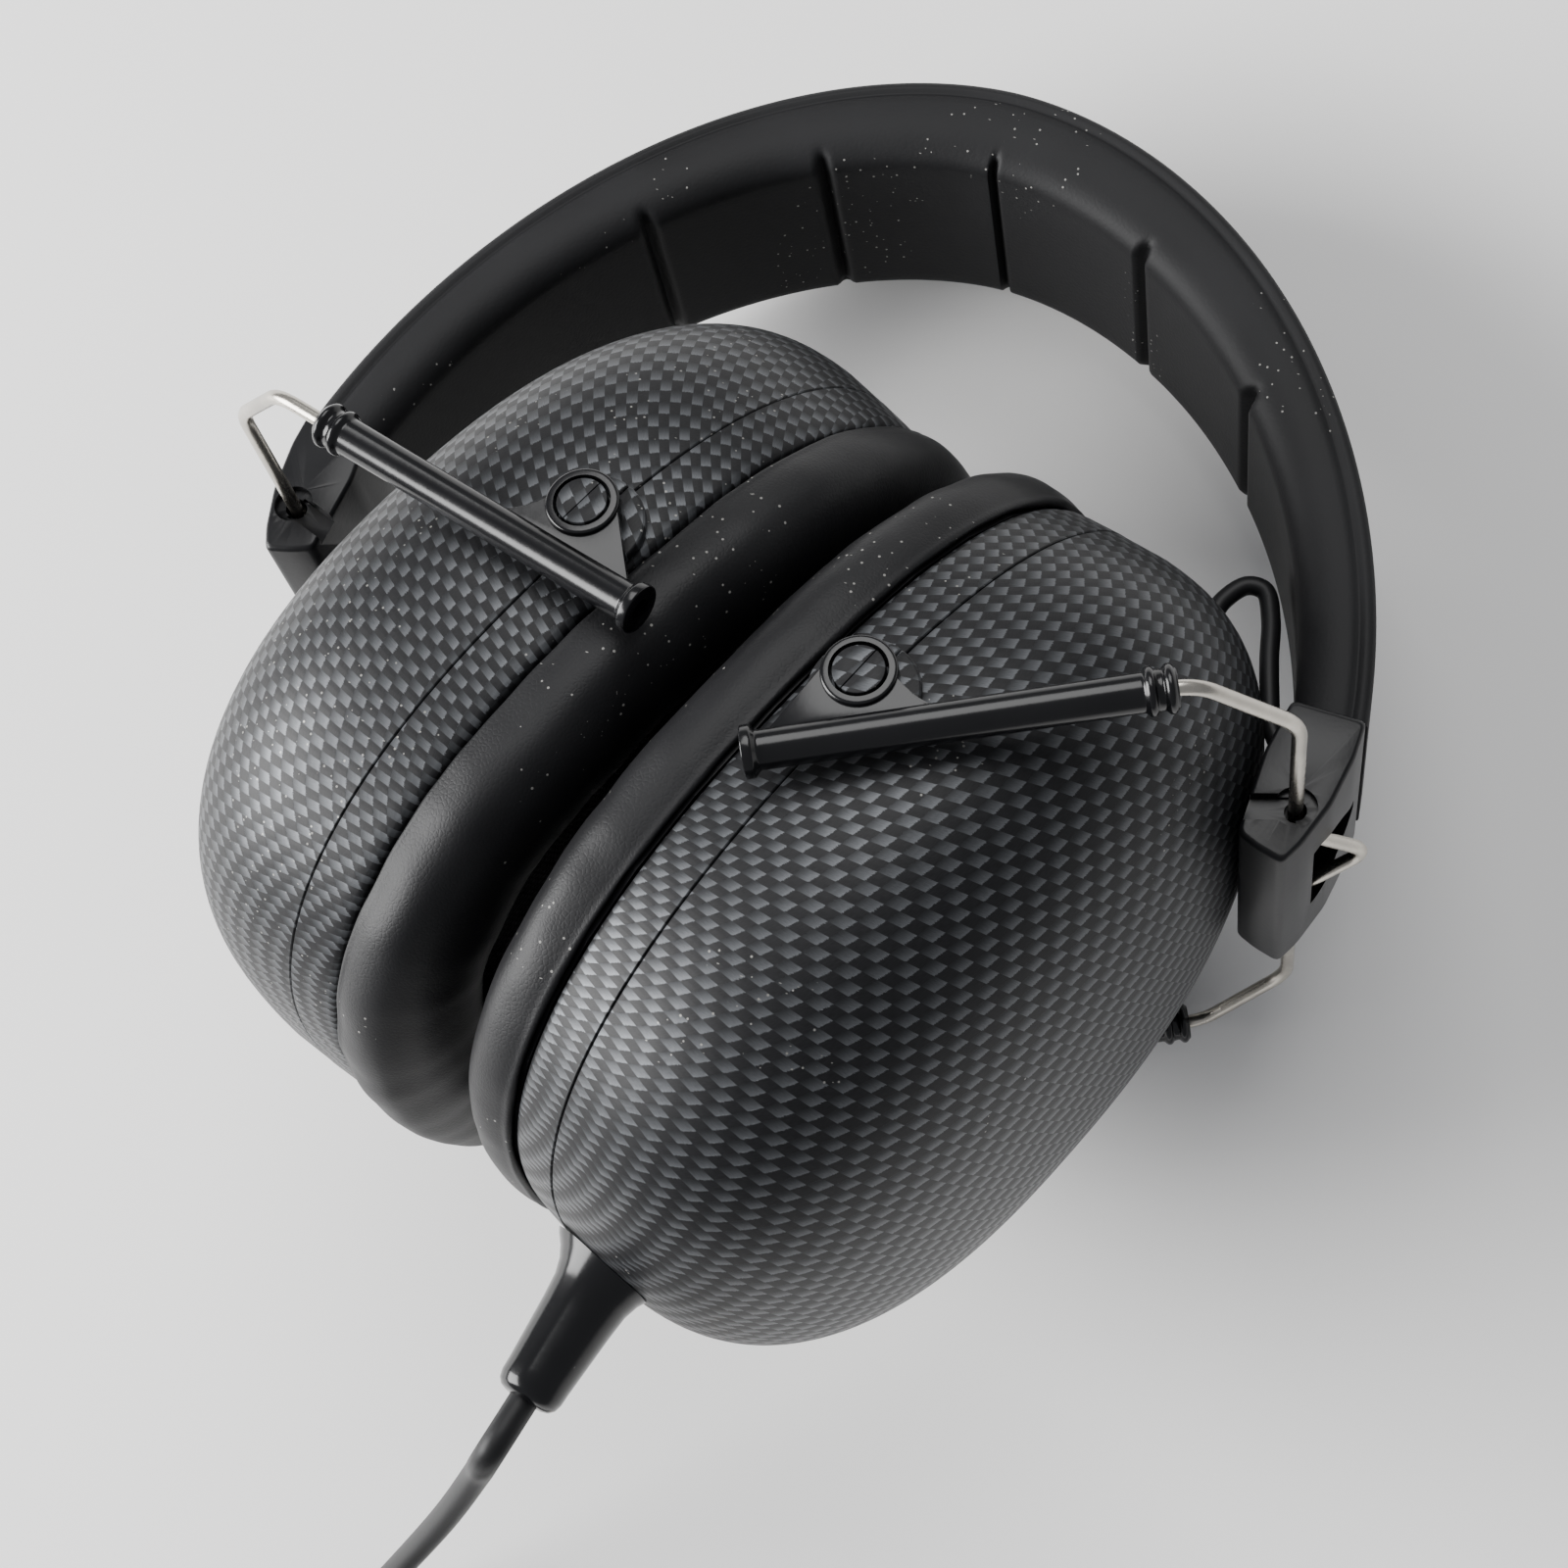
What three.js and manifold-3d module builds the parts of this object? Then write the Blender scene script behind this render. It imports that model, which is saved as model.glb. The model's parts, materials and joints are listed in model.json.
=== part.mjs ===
// Folding earmuff hearing protector with built-in speakers and a cable.
// Millimetres, +Z up. The headset lies on its side, partly folded, with the
// two cushions facing each other. The arch of the headband is drawn in its own
// plane: X runs across the head, Y towards the crown, Z square to the arch.
import * as THREE from 'three';
import { mergeVertices } from 'three/addons/utils/BufferGeometryUtils.js';
import Module from 'manifold-3d';

const wasm = await Module();
wasm.setup();

// ---------------------------------------------------------------- dimensions
const GAP = 0.3; // clearance between pieces that touch
const REST_TILT = 22.7; // degrees that the crown sinks towards the table

const BAND_HALF_SPAN = 73.3; // outer face of the arch, close to an ellipse
const BAND_RISE = 88.4;
const BAND_EXPONENT = 1.88;
const BAND_WIDTH = { ends: 30, crown: 35 };
const BAND_THICKNESS = { ends: 9, crown: 12 };
const BAND_ROUNDING = 3.2;
const BAND_END_HEIGHT = 13.7; // Y where the band stops on its end blocks
const STRIP_WIDTH = 14;
const STRIP_THICKNESS = 0.8;
const STRIP_SOCKET = 2.2; // depth of the spring strip in the end block
const INNER_CABLE_RADIUS = 0.9;

const HINGE_HALF_SPAN = 67.6; // fold hinges, on the line Y = 0
const BLOCK_HALF_WIDTH = 16;
const WIRE_RADIUS = 0.9;
const WIRE_CORNER = 37.7; // half height of the upright part of the wire
const SPLAY = 11.4; // plan length of the splayed part of the wire
const CRANK_REACH = 9.3; // V-shaped crank inside the end block
const CRANK_HALF_HEIGHT = 9;
const CRANK_SWEEP = { from: -28, to: 140 }; // room for the crank, in degrees

const ARM_HEIGHT = 51.3; // arm tubes lie at Z = +ARM_HEIGHT and -ARM_HEIGHT
const TUBE_RADIUS = 2.25;
const TUBE_BORE = 1.38;
const TUBE_LENGTH = 47.1;
const BOSS_BACK = 13.6; // boss centre from the flange, along the tube
const BOSS_OFFSET = 7.2; // boss centre from the tube axis
const BOSS_RADIUS = 4.3;
const BOSS_HOLE = 3.35;
const BOSS_INNER = 49.4; // |Z| of the boss faces
const BOSS_OUTER = 52.8;
const PIN_RADIUS = 2.95;

const CUP_HALF_HEIGHT = 55;
const CUP_HALF_DEPTH = 47.4;
const CUP_CENTRE = -7.2; // cup centre below the swivel pin
const CUP_RISE = 36.3; // dome height over the parting line
const CUP_ROUNDNESS = 2.5; // exponent of the dome's profile
const CUP_WIDEST = 6; // the dome is widest here, outward of the parting line
const CUP_SAG = 6.5; // the dome's top lies this far below the middle of its rim
const CUP_DRAFT = 0.5; // and this much smaller at the parting line
const OVAL_EXPONENT = 2.35; // exponent of the cup's outline
const WALL = 2.2;
const REAR_DEPTH = 7;
const BAFFLE_OPENING = 20; // inset of the rear shell's window
const DRIVER_RADIUS = 20;
const CUSHION_RING = 1.6;
const CUSHION_DEPTH = 9;
const CUSHION_WIDTH = 19;

const BRIDGE_RADIUS = 1.25; // cable from each cup to its end block
const CORD_RADIUS = 1.85; // free cable with the plug
const COIL_CENTRE = { x: -22, y: -188 };
const COIL_MIDDLE_RADIUS = 21;
const COIL_HALF_WIDTH = 7.4; // four turns side by side
const COIL_HEIGHT = 11.1; // three layers
const PLUG_RADIUS = 4.2;
const PLUG_LENGTH = 26;

const SIDES = [
  {
    name: 'right',
    sign: 1,
    fold: 27.9, // degrees of the yoke below the hinge line
    exposed: 1.9, // bare wire before the tube's mouth
    cupTilt: -19.9, // degrees of the cup about Z
    bridgeHeight: 0,
    bridge: [
      [48, 31.5, 0], [50.2, 34.6, 0], [52.6, 34.6, 0], [54.6, 31, 0],
      [56.2, 25.5, 0], [57.9, 20.5, 0], [59.4, 16.6, 0], [61.4, 14, 0],
    ],
  },
  {
    name: 'left',
    sign: -1,
    fold: 13.8,
    exposed: 7.5,
    cupTilt: -21.8,
    bridgeHeight: -20,
    bridge: [
      [-6, 48, -24], [-14, 52, -25], [-26, 50, -23], [-38, 43, -20],
      [-48, 33, -16], [-55, 22, -11], [-58.5, 14, -7], [-61, 8.5, -5],
    ],
  },
];
const BRIDGE_OUTLET = { x: 8, y: 50.5 }; // in the cup's own frame

// ----------------------------------------------------------------- materials
function finish(name, color, roughness, metalness) {
  const material = new THREE.MeshStandardMaterial({ color, roughness, metalness });
  material.name = name;
  return material;
}
const shellPlastic = () => finish('carbon_print_plastic', 0x3a3b3e, 0.42, 0.1);
const glossPlastic = () => finish('gloss_black_plastic', 0x0b0b0c, 0.18, 0.0);
const satinPlastic = () => finish('satin_black_plastic', 0x141415, 0.45, 0.0);
const leatherette = () => finish('black_leatherette', 0x151516, 0.5, 0.0);
const bandSkin = () => finish('matte_band_skin', 0x1a1a1b, 0.7, 0.0);
const platedSteel = () => finish('nickel_plated_steel', 0xc9c5bd, 0.22, 1.0);
const springSteel = () => finish('spring_steel', 0x8d8f92, 0.35, 1.0);
const openFoam = () => finish('grey_foam', 0x4b4b4d, 0.95, 0.0);
const clothScreen = () => finish('black_cloth', 0x0d0d0d, 0.9, 0.0);
const boardGreen = () => finish('green_board', 0x1f5a35, 0.5, 0.0);
const cordRubber = () => finish('black_cord', 0x101011, 0.5, 0.0);
const goldPlate = () => finish('gold_plate', 0xc9a350, 0.25, 1.0);

// ------------------------------------------------------------ shape builders
const radians = THREE.MathUtils.degToRad;
const point = (x, y, z) => new THREE.Vector3(x, y, z);

// Signed volume of a closed indexed mesh.
function signedVolume(geometry) {
  const places = geometry.getAttribute('position');
  const index = geometry.index.array;
  const a = new THREE.Vector3();
  const b = new THREE.Vector3();
  const c = new THREE.Vector3();
  let sum = 0;
  for (let i = 0; i < index.length; i += 3) {
    a.fromBufferAttribute(places, index[i]);
    b.fromBufferAttribute(places, index[i + 1]);
    c.fromBufferAttribute(places, index[i + 2]);
    sum += a.dot(b.cross(c)) / 6;
  }
  return sum;
}

// Merges shared vertices and turns all faces outwards.
function closed(geometry) {
  geometry.deleteAttribute('normal');
  geometry.deleteAttribute('uv');
  const merged = mergeVertices(geometry, 1e-4);
  const index = merged.index.array;
  if (signedVolume(merged) < 0) {
    for (let i = 0; i < index.length; i += 3) {
      [index[i], index[i + 1]] = [index[i + 1], index[i]];
    }
  }
  return merged;
}

// A body lofted through rings of equal point count. Single-point rings close
// an end to a tip, other ends get a fan, and a looped loft is a torus.
function loft(rings, looped = false) {
  const vertices = [];
  const starts = rings.map((ring) => {
    const start = vertices.length / 3;
    ring.forEach((p) => vertices.push(p.x, p.y, p.z));
    return start;
  });
  const triangles = [];
  const join = (first, second) => {
    const count = Math.max(rings[first].length, rings[second].length);
    for (let i = 0; i < count; i += 1) {
      const next = (i + 1) % count;
      const a = starts[first] + (rings[first].length > 1 ? i : 0);
      const b = starts[first] + (rings[first].length > 1 ? next : 0);
      const c = starts[second] + (rings[second].length > 1 ? next : 0);
      const d = starts[second] + (rings[second].length > 1 ? i : 0);
      if (a !== b) triangles.push(a, b, c);
      if (c !== d) triangles.push(a, c, d);
    }
  };
  const fan = (which, flipped) => {
    const ring = rings[which];
    if (ring.length === 1) return;
    const middle = ring.reduce((sum, p) => sum.add(p), point(0, 0, 0));
    middle.divideScalar(ring.length);
    const centre = vertices.length / 3;
    vertices.push(middle.x, middle.y, middle.z);
    for (let i = 0; i < ring.length; i += 1) {
      const a = starts[which] + i;
      const b = starts[which] + ((i + 1) % ring.length);
      triangles.push(...(flipped ? [centre, a, b] : [centre, b, a]));
    }
  };
  for (let i = 0; i + 1 < rings.length; i += 1) join(i, i + 1);
  if (looped) {
    join(rings.length - 1, 0);
  } else {
    fan(0, false);
    fan(rings.length - 1, true);
  }
  const geometry = new THREE.BufferGeometry();
  geometry.setAttribute('position', new THREE.Float32BufferAttribute(vertices, 3));
  geometry.setIndex(triangles);
  return closed(geometry);
}

const solidOf = (geometry) => new wasm.Manifold(new wasm.Mesh({
  numProp: 3,
  vertProperties: new Float32Array(geometry.getAttribute('position').array),
  triVerts: new Uint32Array(geometry.index.array),
}));

function geometryOf(solid) {
  const mesh = solid.getMesh();
  const geometry = new THREE.BufferGeometry();
  geometry.setAttribute('position', new THREE.BufferAttribute(mesh.vertProperties, 3));
  geometry.setIndex(new THREE.BufferAttribute(mesh.triVerts, 1));
  return geometry;
}

const joined = (...parts) => geometryOf(
  parts.map(solidOf).reduce((whole, part) => whole.add(part)),
);
const cut = (body, ...tools) => geometryOf(
  tools.map(solidOf).reduce((whole, tool) => whole.subtract(tool), solidOf(body)),
);

const box = (width, depth, height) => closed(new THREE.BoxGeometry(width, depth, height));
const rod = (radius, length, sides) => closed(
  new THREE.CylinderGeometry(radius, radius, length, sides).rotateX(Math.PI / 2),
);

// A turned body about the X axis, from pairs of [X, radius].
function turned(profile, sides) {
  const points = profile.map(([along, radius]) => new THREE.Vector2(radius, along));
  return closed(new THREE.LatheGeometry(points, sides).rotateZ(-Math.PI / 2));
}

// A straight plate with the given outline, between two heights.
function plate(outline, low, high) {
  const shape = new THREE.Shape(outline.map(([x, y]) => new THREE.Vector2(x, y)));
  const extruded = new THREE.ExtrudeGeometry(shape, { depth: high - low, bevelEnabled: false });
  return closed(extruded.translate(0, 0, low));
}

// A path through bend points, sampled point by point.
class BentPath extends THREE.Curve {
  constructor(points) {
    super();
    this.points = points;
  }

  getUtoTmapping(u) {
    return u;
  }

  getPoint(t, target = new THREE.Vector3()) {
    const place = t * (this.points.length - 1);
    const index = Math.min(Math.floor(place), this.points.length - 2);
    return target.copy(this.points[index]).lerp(this.points[index + 1], place - index);
  }

  getTangent(t, target = new THREE.Vector3()) {
    const last = this.points.length - 1;
    const here = Math.round(t * last);
    const before = this.points[here].clone().sub(this.points[Math.max(here - 1, 0)]);
    const after = this.points[Math.min(here + 1, last)].clone().sub(this.points[here]);
    return target.copy(before.normalize()).add(after.normalize()).normalize();
  }
}

function tubeAlong(points, radius, sides) {
  const section = new THREE.Shape();
  for (let i = 0; i < sides; i += 1) {
    const turn = (2 * Math.PI * (i + 0.5)) / sides;
    const place = [radius * Math.cos(turn), radius * Math.sin(turn)];
    if (i === 0) section.moveTo(...place);
    else section.lineTo(...place);
  }
  section.closePath();
  return closed(new THREE.ExtrudeGeometry(section, {
    steps: points.length - 1,
    extrudePath: new BentPath(points),
  }));
}

// Replaces each inner corner of a polyline with a short curve.
function rounded(corners, radius, steps) {
  const points = [corners[0]];
  for (let i = 1; i + 1 < corners.length; i += 1) {
    const reach = (toward) => {
      const way = toward.clone().sub(corners[i]);
      const length = Math.min(radius, way.length() * 0.45);
      return corners[i].clone().add(way.setLength(length));
    };
    const bend = new THREE.QuadraticBezierCurve3(
      reach(corners[i - 1]), corners[i], reach(corners[i + 1]),
    );
    points.push(...bend.getPoints(steps));
  }
  points.push(corners[corners.length - 1]);
  return points;
}

// Points on a smooth curve through hand-placed points.
function smooth(points, steps) {
  return new THREE.CatmullRomCurve3(points, false, 'centripetal').getSpacedPoints(steps);
}

// ------------------------------------------------------------------ headband
// Outer face of the arch and its normal, at an angle from the right hinge.
function archFace(turn) {
  const power = 2 / BAND_EXPONENT;
  const bent = (value) => Math.sign(value) * Math.abs(value) ** power;
  const face = point(BAND_HALF_SPAN * bent(Math.cos(turn)), BAND_RISE * bent(Math.sin(turn)), 0);
  const slope = (value, half) => Math.sign(value) * Math.abs(value / half) ** (BAND_EXPONENT - 1) / half;
  const normal = point(slope(face.x, BAND_HALF_SPAN), slope(face.y, BAND_RISE), 0).normalize();
  return { face, normal };
}

const archStart = (height) => Math.asin((height / BAND_RISE) ** (BAND_EXPONENT / 2));

// A strip swept along the arch. The section at each angle is a list of
// [across, depth below the outer face].
function bandSweep(sectionAt, endHeight, steps) {
  const start = archStart(endHeight);
  const rings = [];
  for (let i = 0; i <= steps; i += 1) {
    const turn = start + ((Math.PI - 2 * start) * i) / steps;
    const { face, normal } = archFace(turn);
    rings.push(sectionAt(turn).map(([across, depth]) => face.clone()
      .addScaledVector(normal, -depth)
      .add(point(0, 0, across))));
  }
  return loft(rings);
}

// A plain rectangle, from one depth to another.
const slab = (width, near, far) => () => [
  [-width / 2, near], [width / 2, near], [width / 2, far], [-width / 2, far],
];

function padSection(turn) {
  const crown = Math.sin(turn) ** 2;
  const half = (BAND_WIDTH.ends + (BAND_WIDTH.crown - BAND_WIDTH.ends) * crown) / 2;
  const deep = BAND_THICKNESS.ends + (BAND_THICKNESS.crown - BAND_THICKNESS.ends) * crown;
  const r = BAND_ROUNDING;
  return [
    [-half, r], [-half + r, 0], [half - r, 0], [half, r],
    [half, deep - r], [half - r, deep], [-half + r, deep], [-half, deep - r],
  ];
}

const BAND_STEPS = 28;
const STRIP_DEPTH = 3.4; // spring strip below the band's outer face
const CABLE_DEPTH = STRIP_DEPTH + STRIP_THICKNESS + GAP + INNER_CABLE_RADIUS;

function headbandPad() {
  const pad = bandSweep(padSection, BAND_END_HEIGHT - 6, BAND_STEPS);
  const slotDeep = CABLE_DEPTH + INNER_CABLE_RADIUS + GAP;
  const slot = bandSweep(
    slab(STRIP_WIDTH + 2 * GAP, STRIP_DEPTH - GAP, slotDeep),
    BAND_END_HEIGHT - 9,
    BAND_STEPS,
  );
  const ends = box(4 * BAND_HALF_SPAN, 40, 60).translate(0, BAND_END_HEIGHT - 20, 0);
  return cut(pad, slot, ends);
}

function springStrip() {
  const section = slab(STRIP_WIDTH, STRIP_DEPTH, STRIP_DEPTH + STRIP_THICKNESS);
  return bandSweep(section, BAND_END_HEIGHT - STRIP_SOCKET, BAND_STEPS);
}

function innerCable() {
  const start = archStart(BAND_END_HEIGHT + 1.5);
  const points = Array.from({ length: BAND_STEPS + 1 }, (_, i) => {
    const turn = start + ((Math.PI - 2 * start) * i) / BAND_STEPS;
    const { face, normal } = archFace(turn);
    return face.addScaledVector(normal, -CABLE_DEPTH);
  });
  return tubeAlong(points, INNER_CABLE_RADIUS - 0.1, 6);
}

// ------------------------------------------------------- end block and wire
// Drawn for the right side in arch coordinates relative to the hinge.
function endBlock() {
  const outline = [
    [-5.4, -5.3], [-2.8, -6.4], [0.7, -7.3], [2.2, -4.2], [3.9, 1.7],
    [4.6, 8.4], [4.4, BAND_END_HEIGHT - GAP], [-4.8, BAND_END_HEIGHT - GAP], [-5.8, 6],
  ];
  const body = plate(outline, -BLOCK_HALF_WIDTH, BLOCK_HALF_WIDTH);
  const bore = rod(WIRE_RADIUS + 0.45, 3 * BLOCK_HALF_WIDTH, 12);
  const recess = rod(WIRE_RADIUS + 1.3, 1.2, 12);
  const upper = recess.clone().translate(0, 0, BLOCK_HALF_WIDTH);
  const lower = recess.clone().translate(0, 0, -BLOCK_HALF_WIDTH);
  const clear = WIRE_RADIUS + 0.5;
  const sweepSection = [
    [0.05, CRANK_HALF_HEIGHT + 2], [CRANK_REACH, clear + 0.4], [CRANK_REACH + clear, 1],
    [CRANK_REACH + clear, -1], [CRANK_REACH, -clear - 0.4], [0.05, -CRANK_HALF_HEIGHT - 2],
  ];
  const rings = [];
  const sweepSteps = 10;
  for (let i = 0; i <= sweepSteps; i += 1) {
    const turn = radians(CRANK_SWEEP.from + ((CRANK_SWEEP.to - CRANK_SWEEP.from) * i) / sweepSteps);
    rings.push(sweepSection.map(([r, z]) => point(r * Math.cos(turn), r * Math.sin(turn), z)));
  }
  const socket = bandSweep(
    slab(STRIP_WIDTH + 2 * GAP, STRIP_DEPTH - GAP, STRIP_DEPTH + STRIP_THICKNESS + GAP),
    BAND_END_HEIGHT - STRIP_SOCKET - GAP,
    BAND_STEPS,
  );
  socket.translate(-HINGE_HALF_SPAN, 0, 0);
  return cut(body, bore, upper, lower, loft(rings), socket);
}

// The wire for the right side, legs pointing along -X from the hinge.
function wireYoke(insideTube) {
  const leg = -(SPLAY + insideTube);
  const corners = [
    point(leg, 0, ARM_HEIGHT),
    point(-SPLAY, 0, ARM_HEIGHT),
    point(0, 0, WIRE_CORNER),
    point(0, 0, CRANK_HALF_HEIGHT),
    point(CRANK_REACH, 0, 0),
    point(0, 0, -CRANK_HALF_HEIGHT),
    point(0, 0, -WIRE_CORNER),
    point(-SPLAY, 0, -ARM_HEIGHT),
    point(leg, 0, -ARM_HEIGHT),
  ];
  return tubeAlong(rounded(corners, 3, 4), WIRE_RADIUS, 8);
}

// ---------------------------------------------------------------------- arms
// Drawn about the swivel pin, the tube's mouth towards +X.
function armTube() {
  const flange = -BOSS_BACK;
  const mouth = TUBE_LENGTH - BOSS_BACK;
  const outside = [
    [flange, 0], [flange, 3], [flange + 1.1, 3], [flange + 1.6, TUBE_RADIUS],
    [mouth - 5.2, TUBE_RADIUS], [mouth - 4.8, 2.85], [mouth - 3.9, 2.85],
    [mouth - 3.5, TUBE_RADIUS], [mouth - 1.6, TUBE_RADIUS], [mouth - 1.2, 2.85],
    [mouth, 2.85], [mouth, 0],
  ];
  const tube = turned(outside, 16).translate(0, -BOSS_OFFSET, 0);
  const bore = turned(
    [[flange - 1, 0], [flange - 1, TUBE_BORE], [mouth + 1, TUBE_BORE], [mouth + 1, 0]],
    12,
  ).translate(0, -BOSS_OFFSET, 0);
  const ringHeight = BOSS_OUTER - BOSS_INNER;
  const ringMiddle = (BOSS_OUTER + BOSS_INNER) / 2 - ARM_HEIGHT;
  const ring = rod(BOSS_RADIUS, ringHeight, 24).translate(0, 0, ringMiddle);
  const hole = rod(BOSS_HOLE, 3 * ringHeight, 24);
  const web = plate(
    [
      [flange + 0.6, -BOSS_OFFSET], [-3.2, 2.7], [3.6, -2.2],
      [6.2, -4.6], [9.5, -5.6], [9.5, -BOSS_OFFSET],
    ],
    -1.3,
    1,
  );
  return cut(joined(tube, ring, web), bore, hole);
}

// ---------------------------------------------------------------------- cups
const OVAL_POINTS = 32;

function ovalRing(x, halfHeight, halfDepth, centre = CUP_CENTRE) {
  const power = 2 / OVAL_EXPONENT;
  const bent = (value) => Math.sign(value) * Math.abs(value) ** power;
  return Array.from({ length: OVAL_POINTS }, (_, i) => {
    const turn = (2 * Math.PI * i) / OVAL_POINTS;
    return point(
      x,
      centre + halfHeight * bent(Math.cos(turn)),
      halfDepth * bent(Math.sin(turn)),
    );
  });
}

const insetRing = (x, inset) => ovalRing(x, CUP_HALF_HEIGHT - inset, CUP_HALF_DEPTH - inset);

// Rings of the dome from the parting line to the top, widest at CUP_WIDEST.
function domeRings(start, inset, steps) {
  const rings = [insetRing(start, inset + CUP_DRAFT)];
  const power = 2 / CUP_ROUNDNESS;
  for (let i = 0; i < steps; i += 1) {
    const turn = (Math.PI / 2) * (i / steps);
    const size = Math.cos(turn) ** power;
    const along = CUP_WIDEST + (CUP_RISE - inset - CUP_WIDEST) * Math.sin(turn) ** power;
    rings.push(ovalRing(
      along,
      (CUP_HALF_HEIGHT - inset) * size,
      (CUP_HALF_DEPTH - inset) * size,
      CUP_CENTRE - CUP_SAG * (1 - size),
    ));
  }
  rings.push([point(CUP_RISE - inset, CUP_CENTRE - CUP_SAG, 0)]);
  return rings;
}

// Half of a swivel pin, on the given side of the parting line.
function halfPin(side, up) {
  const steps = 8;
  const outline = [];
  for (let i = 0; i <= steps; i += 1) {
    const turn = -Math.PI / 2 + (Math.PI * i) / steps;
    outline.push([
      side * Math.max(PIN_RADIUS * Math.cos(turn), GAP / 2),
      PIN_RADIUS * Math.sin(turn),
    ]);
  }
  const root = CUP_HALF_DEPTH - WALL / 2;
  return plate(outline, up > 0 ? root : -BOSS_OUTER, up > 0 ? BOSS_OUTER : -root);
}

function outerShell() {
  const outside = domeRings(GAP / 2, 0, 8);
  const inside = domeRings(GAP / 2, WALL, 8);
  const shell = loft([...outside.reverse(), ...inside]);
  return joined(shell, halfPin(1, 1), halfPin(1, -1));
}

function rearShell() {
  const front = -REAR_DEPTH;
  const shell = loft([
    insetRing(-GAP / 2, CUP_DRAFT), insetRing(front + 1, 1.3), insetRing(front, 2),
    insetRing(front, BAFFLE_OPENING), insetRing(front + 1.8, BAFFLE_OPENING),
    insetRing(front + 1.8, WALL + 1.2), insetRing(-GAP / 2, WALL + CUP_DRAFT),
  ], true);
  return joined(shell, halfPin(-1, 1), halfPin(-1, -1));
}

const SCREW_PLACE = 40; // shell screws above and below the cup's centre
const plateLow = -REAR_DEPTH + 1.8 + GAP;
const plateHigh = plateLow + 1.8;

function bafflePlate() {
  const inset = WALL + 1.2 + GAP;
  const body = loft([insetRing(plateLow, inset), insetRing(plateHigh, inset)]);
  const window = turned([[-20, 0], [-20, DRIVER_RADIUS - 2], [20, DRIVER_RADIUS - 2], [20, 0]], 24);
  window.translate(0, CUP_CENTRE, 0);
  return cut(body, window);
}

// A frame with a cup-shaped basket for the speaker.
function driverFrame() {
  const seat = plateHigh + GAP;
  return turned([
    [seat, DRIVER_RADIUS], [seat + 1.4, DRIVER_RADIUS], [seat + 1.9, DRIVER_RADIUS - 3],
    [seat + 7, 12.5], [seat + 7, 8], [seat + 5.8, 8], [seat + 5.8, 11.8],
    [seat + 0.9, DRIVER_RADIUS - 3.6], [seat, DRIVER_RADIUS - 3.6], [seat, DRIVER_RADIUS],
  ], 24).translate(0, CUP_CENTRE, 0);
}

function driverMagnet() {
  const seat = plateHigh + GAP + 7 + GAP;
  return turned([
    [seat, 0], [seat, 11], [seat + 4.5, 11], [seat + 5, 10.5], [seat + 5, 0],
  ], 24).translate(0, CUP_CENTRE, 0);
}

function driverDiaphragm() {
  const seat = plateHigh - 1.2;
  return turned([
    [seat, 0], [seat - 0.6, 6], [seat, 8], [seat + 0.8, 12], [seat, 16],
    [seat + 0.6, 16], [seat + 1.4, 12], [seat + 0.6, 8], [seat, 5], [seat + 0.6, 0],
  ], 24).translate(0, CUP_CENTRE, 0);
}

function terminalBoard() {
  return box(1.6, 9, 18).translate(plateHigh + GAP + 0.8, CUP_CENTRE - 29, 0);
}

function foamLiner() {
  return loft([
    ovalRing(14, 44, 36), ovalRing(22, 40, 33), ovalRing(28, 28, 24, CUP_CENTRE - 3),
  ]);
}

function shellScrew(up) {
  const seat = plateHigh + GAP;
  return turned([
    [seat - 4.1, 0], [seat - 4.1, 1], [seat, 1], [seat, 2.7],
    [seat + 1.2, 2.4], [seat + 1.7, 1.4], [seat + 1.7, 0],
  ], 10).translate(0, CUP_CENTRE + up * SCREW_PLACE, 0);
}

function screwHole(up) {
  return turned([[-12, 0], [-12, 1.4], [6, 1.4], [6, 0]], 10)
    .translate(0, CUP_CENTRE + up * SCREW_PLACE, 0);
}

const ringBack = -REAR_DEPTH - GAP;
const ringFront = ringBack - CUSHION_RING;

function cushionRing() {
  return loft([
    insetRing(ringBack, 2), insetRing(ringFront, 2),
    insetRing(ringFront, CUSHION_WIDTH), insetRing(ringBack, CUSHION_WIDTH),
  ], true);
}

function screenCloth() {
  const inset = CUSHION_WIDTH + GAP + 0.2;
  return loft([insetRing(ringFront, inset), insetRing(ringFront + 1, inset)]);
}

function earCushion() {
  const back = ringFront - GAP;
  const face = back - CUSHION_DEPTH;
  return loft([
    insetRing(back, 3), insetRing(back - 2, 2), insetRing(back - 5, 2.3),
    insetRing(face + 1.4, 4.6), insetRing(face, 8), insetRing(face, 13),
    insetRing(face + 2, 17.5), insetRing(face + 5, CUSHION_WIDTH), insetRing(back, CUSHION_WIDTH),
  ], true);
}

// ---------------------------------------------------------------- free cable
const BOOT_LENGTH = 19;
const BOOT_LEAN = 10.4; // degrees from the cup's lower end towards its dome
const bootRoot = point(6.5, CUP_CENTRE - CUP_HALF_HEIGHT + 1.5, 0);

// A flared boot along -Y from its root, trimmed to the dome.
function strainRelief() {
  const flare = [
    [0, 7.2, 6.6], [2, 6.4, 6], [3.6, 4.6, 4.6], [5.4, 4, 4],
    [BOOT_LENGTH - 1, 3.2, 3.2], [BOOT_LENGTH, 2.6, 2.6],
  ];
  const sides = 16;
  const rings = flare.map(([along, wide, deep]) => Array.from({ length: sides }, (_, i) => {
    const turn = (2 * Math.PI * i) / sides;
    return point(wide * Math.cos(turn), -along, deep * Math.sin(turn));
  }));
  const boot = loft(rings);
  boot.rotateZ(radians(BOOT_LEAN));
  boot.translate(bootRoot.x, bootRoot.y, bootRoot.z);
  const clearance = loft(domeRings(-REAR_DEPTH, -GAP, 12));
  return cut(boot, clearance);
}

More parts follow.
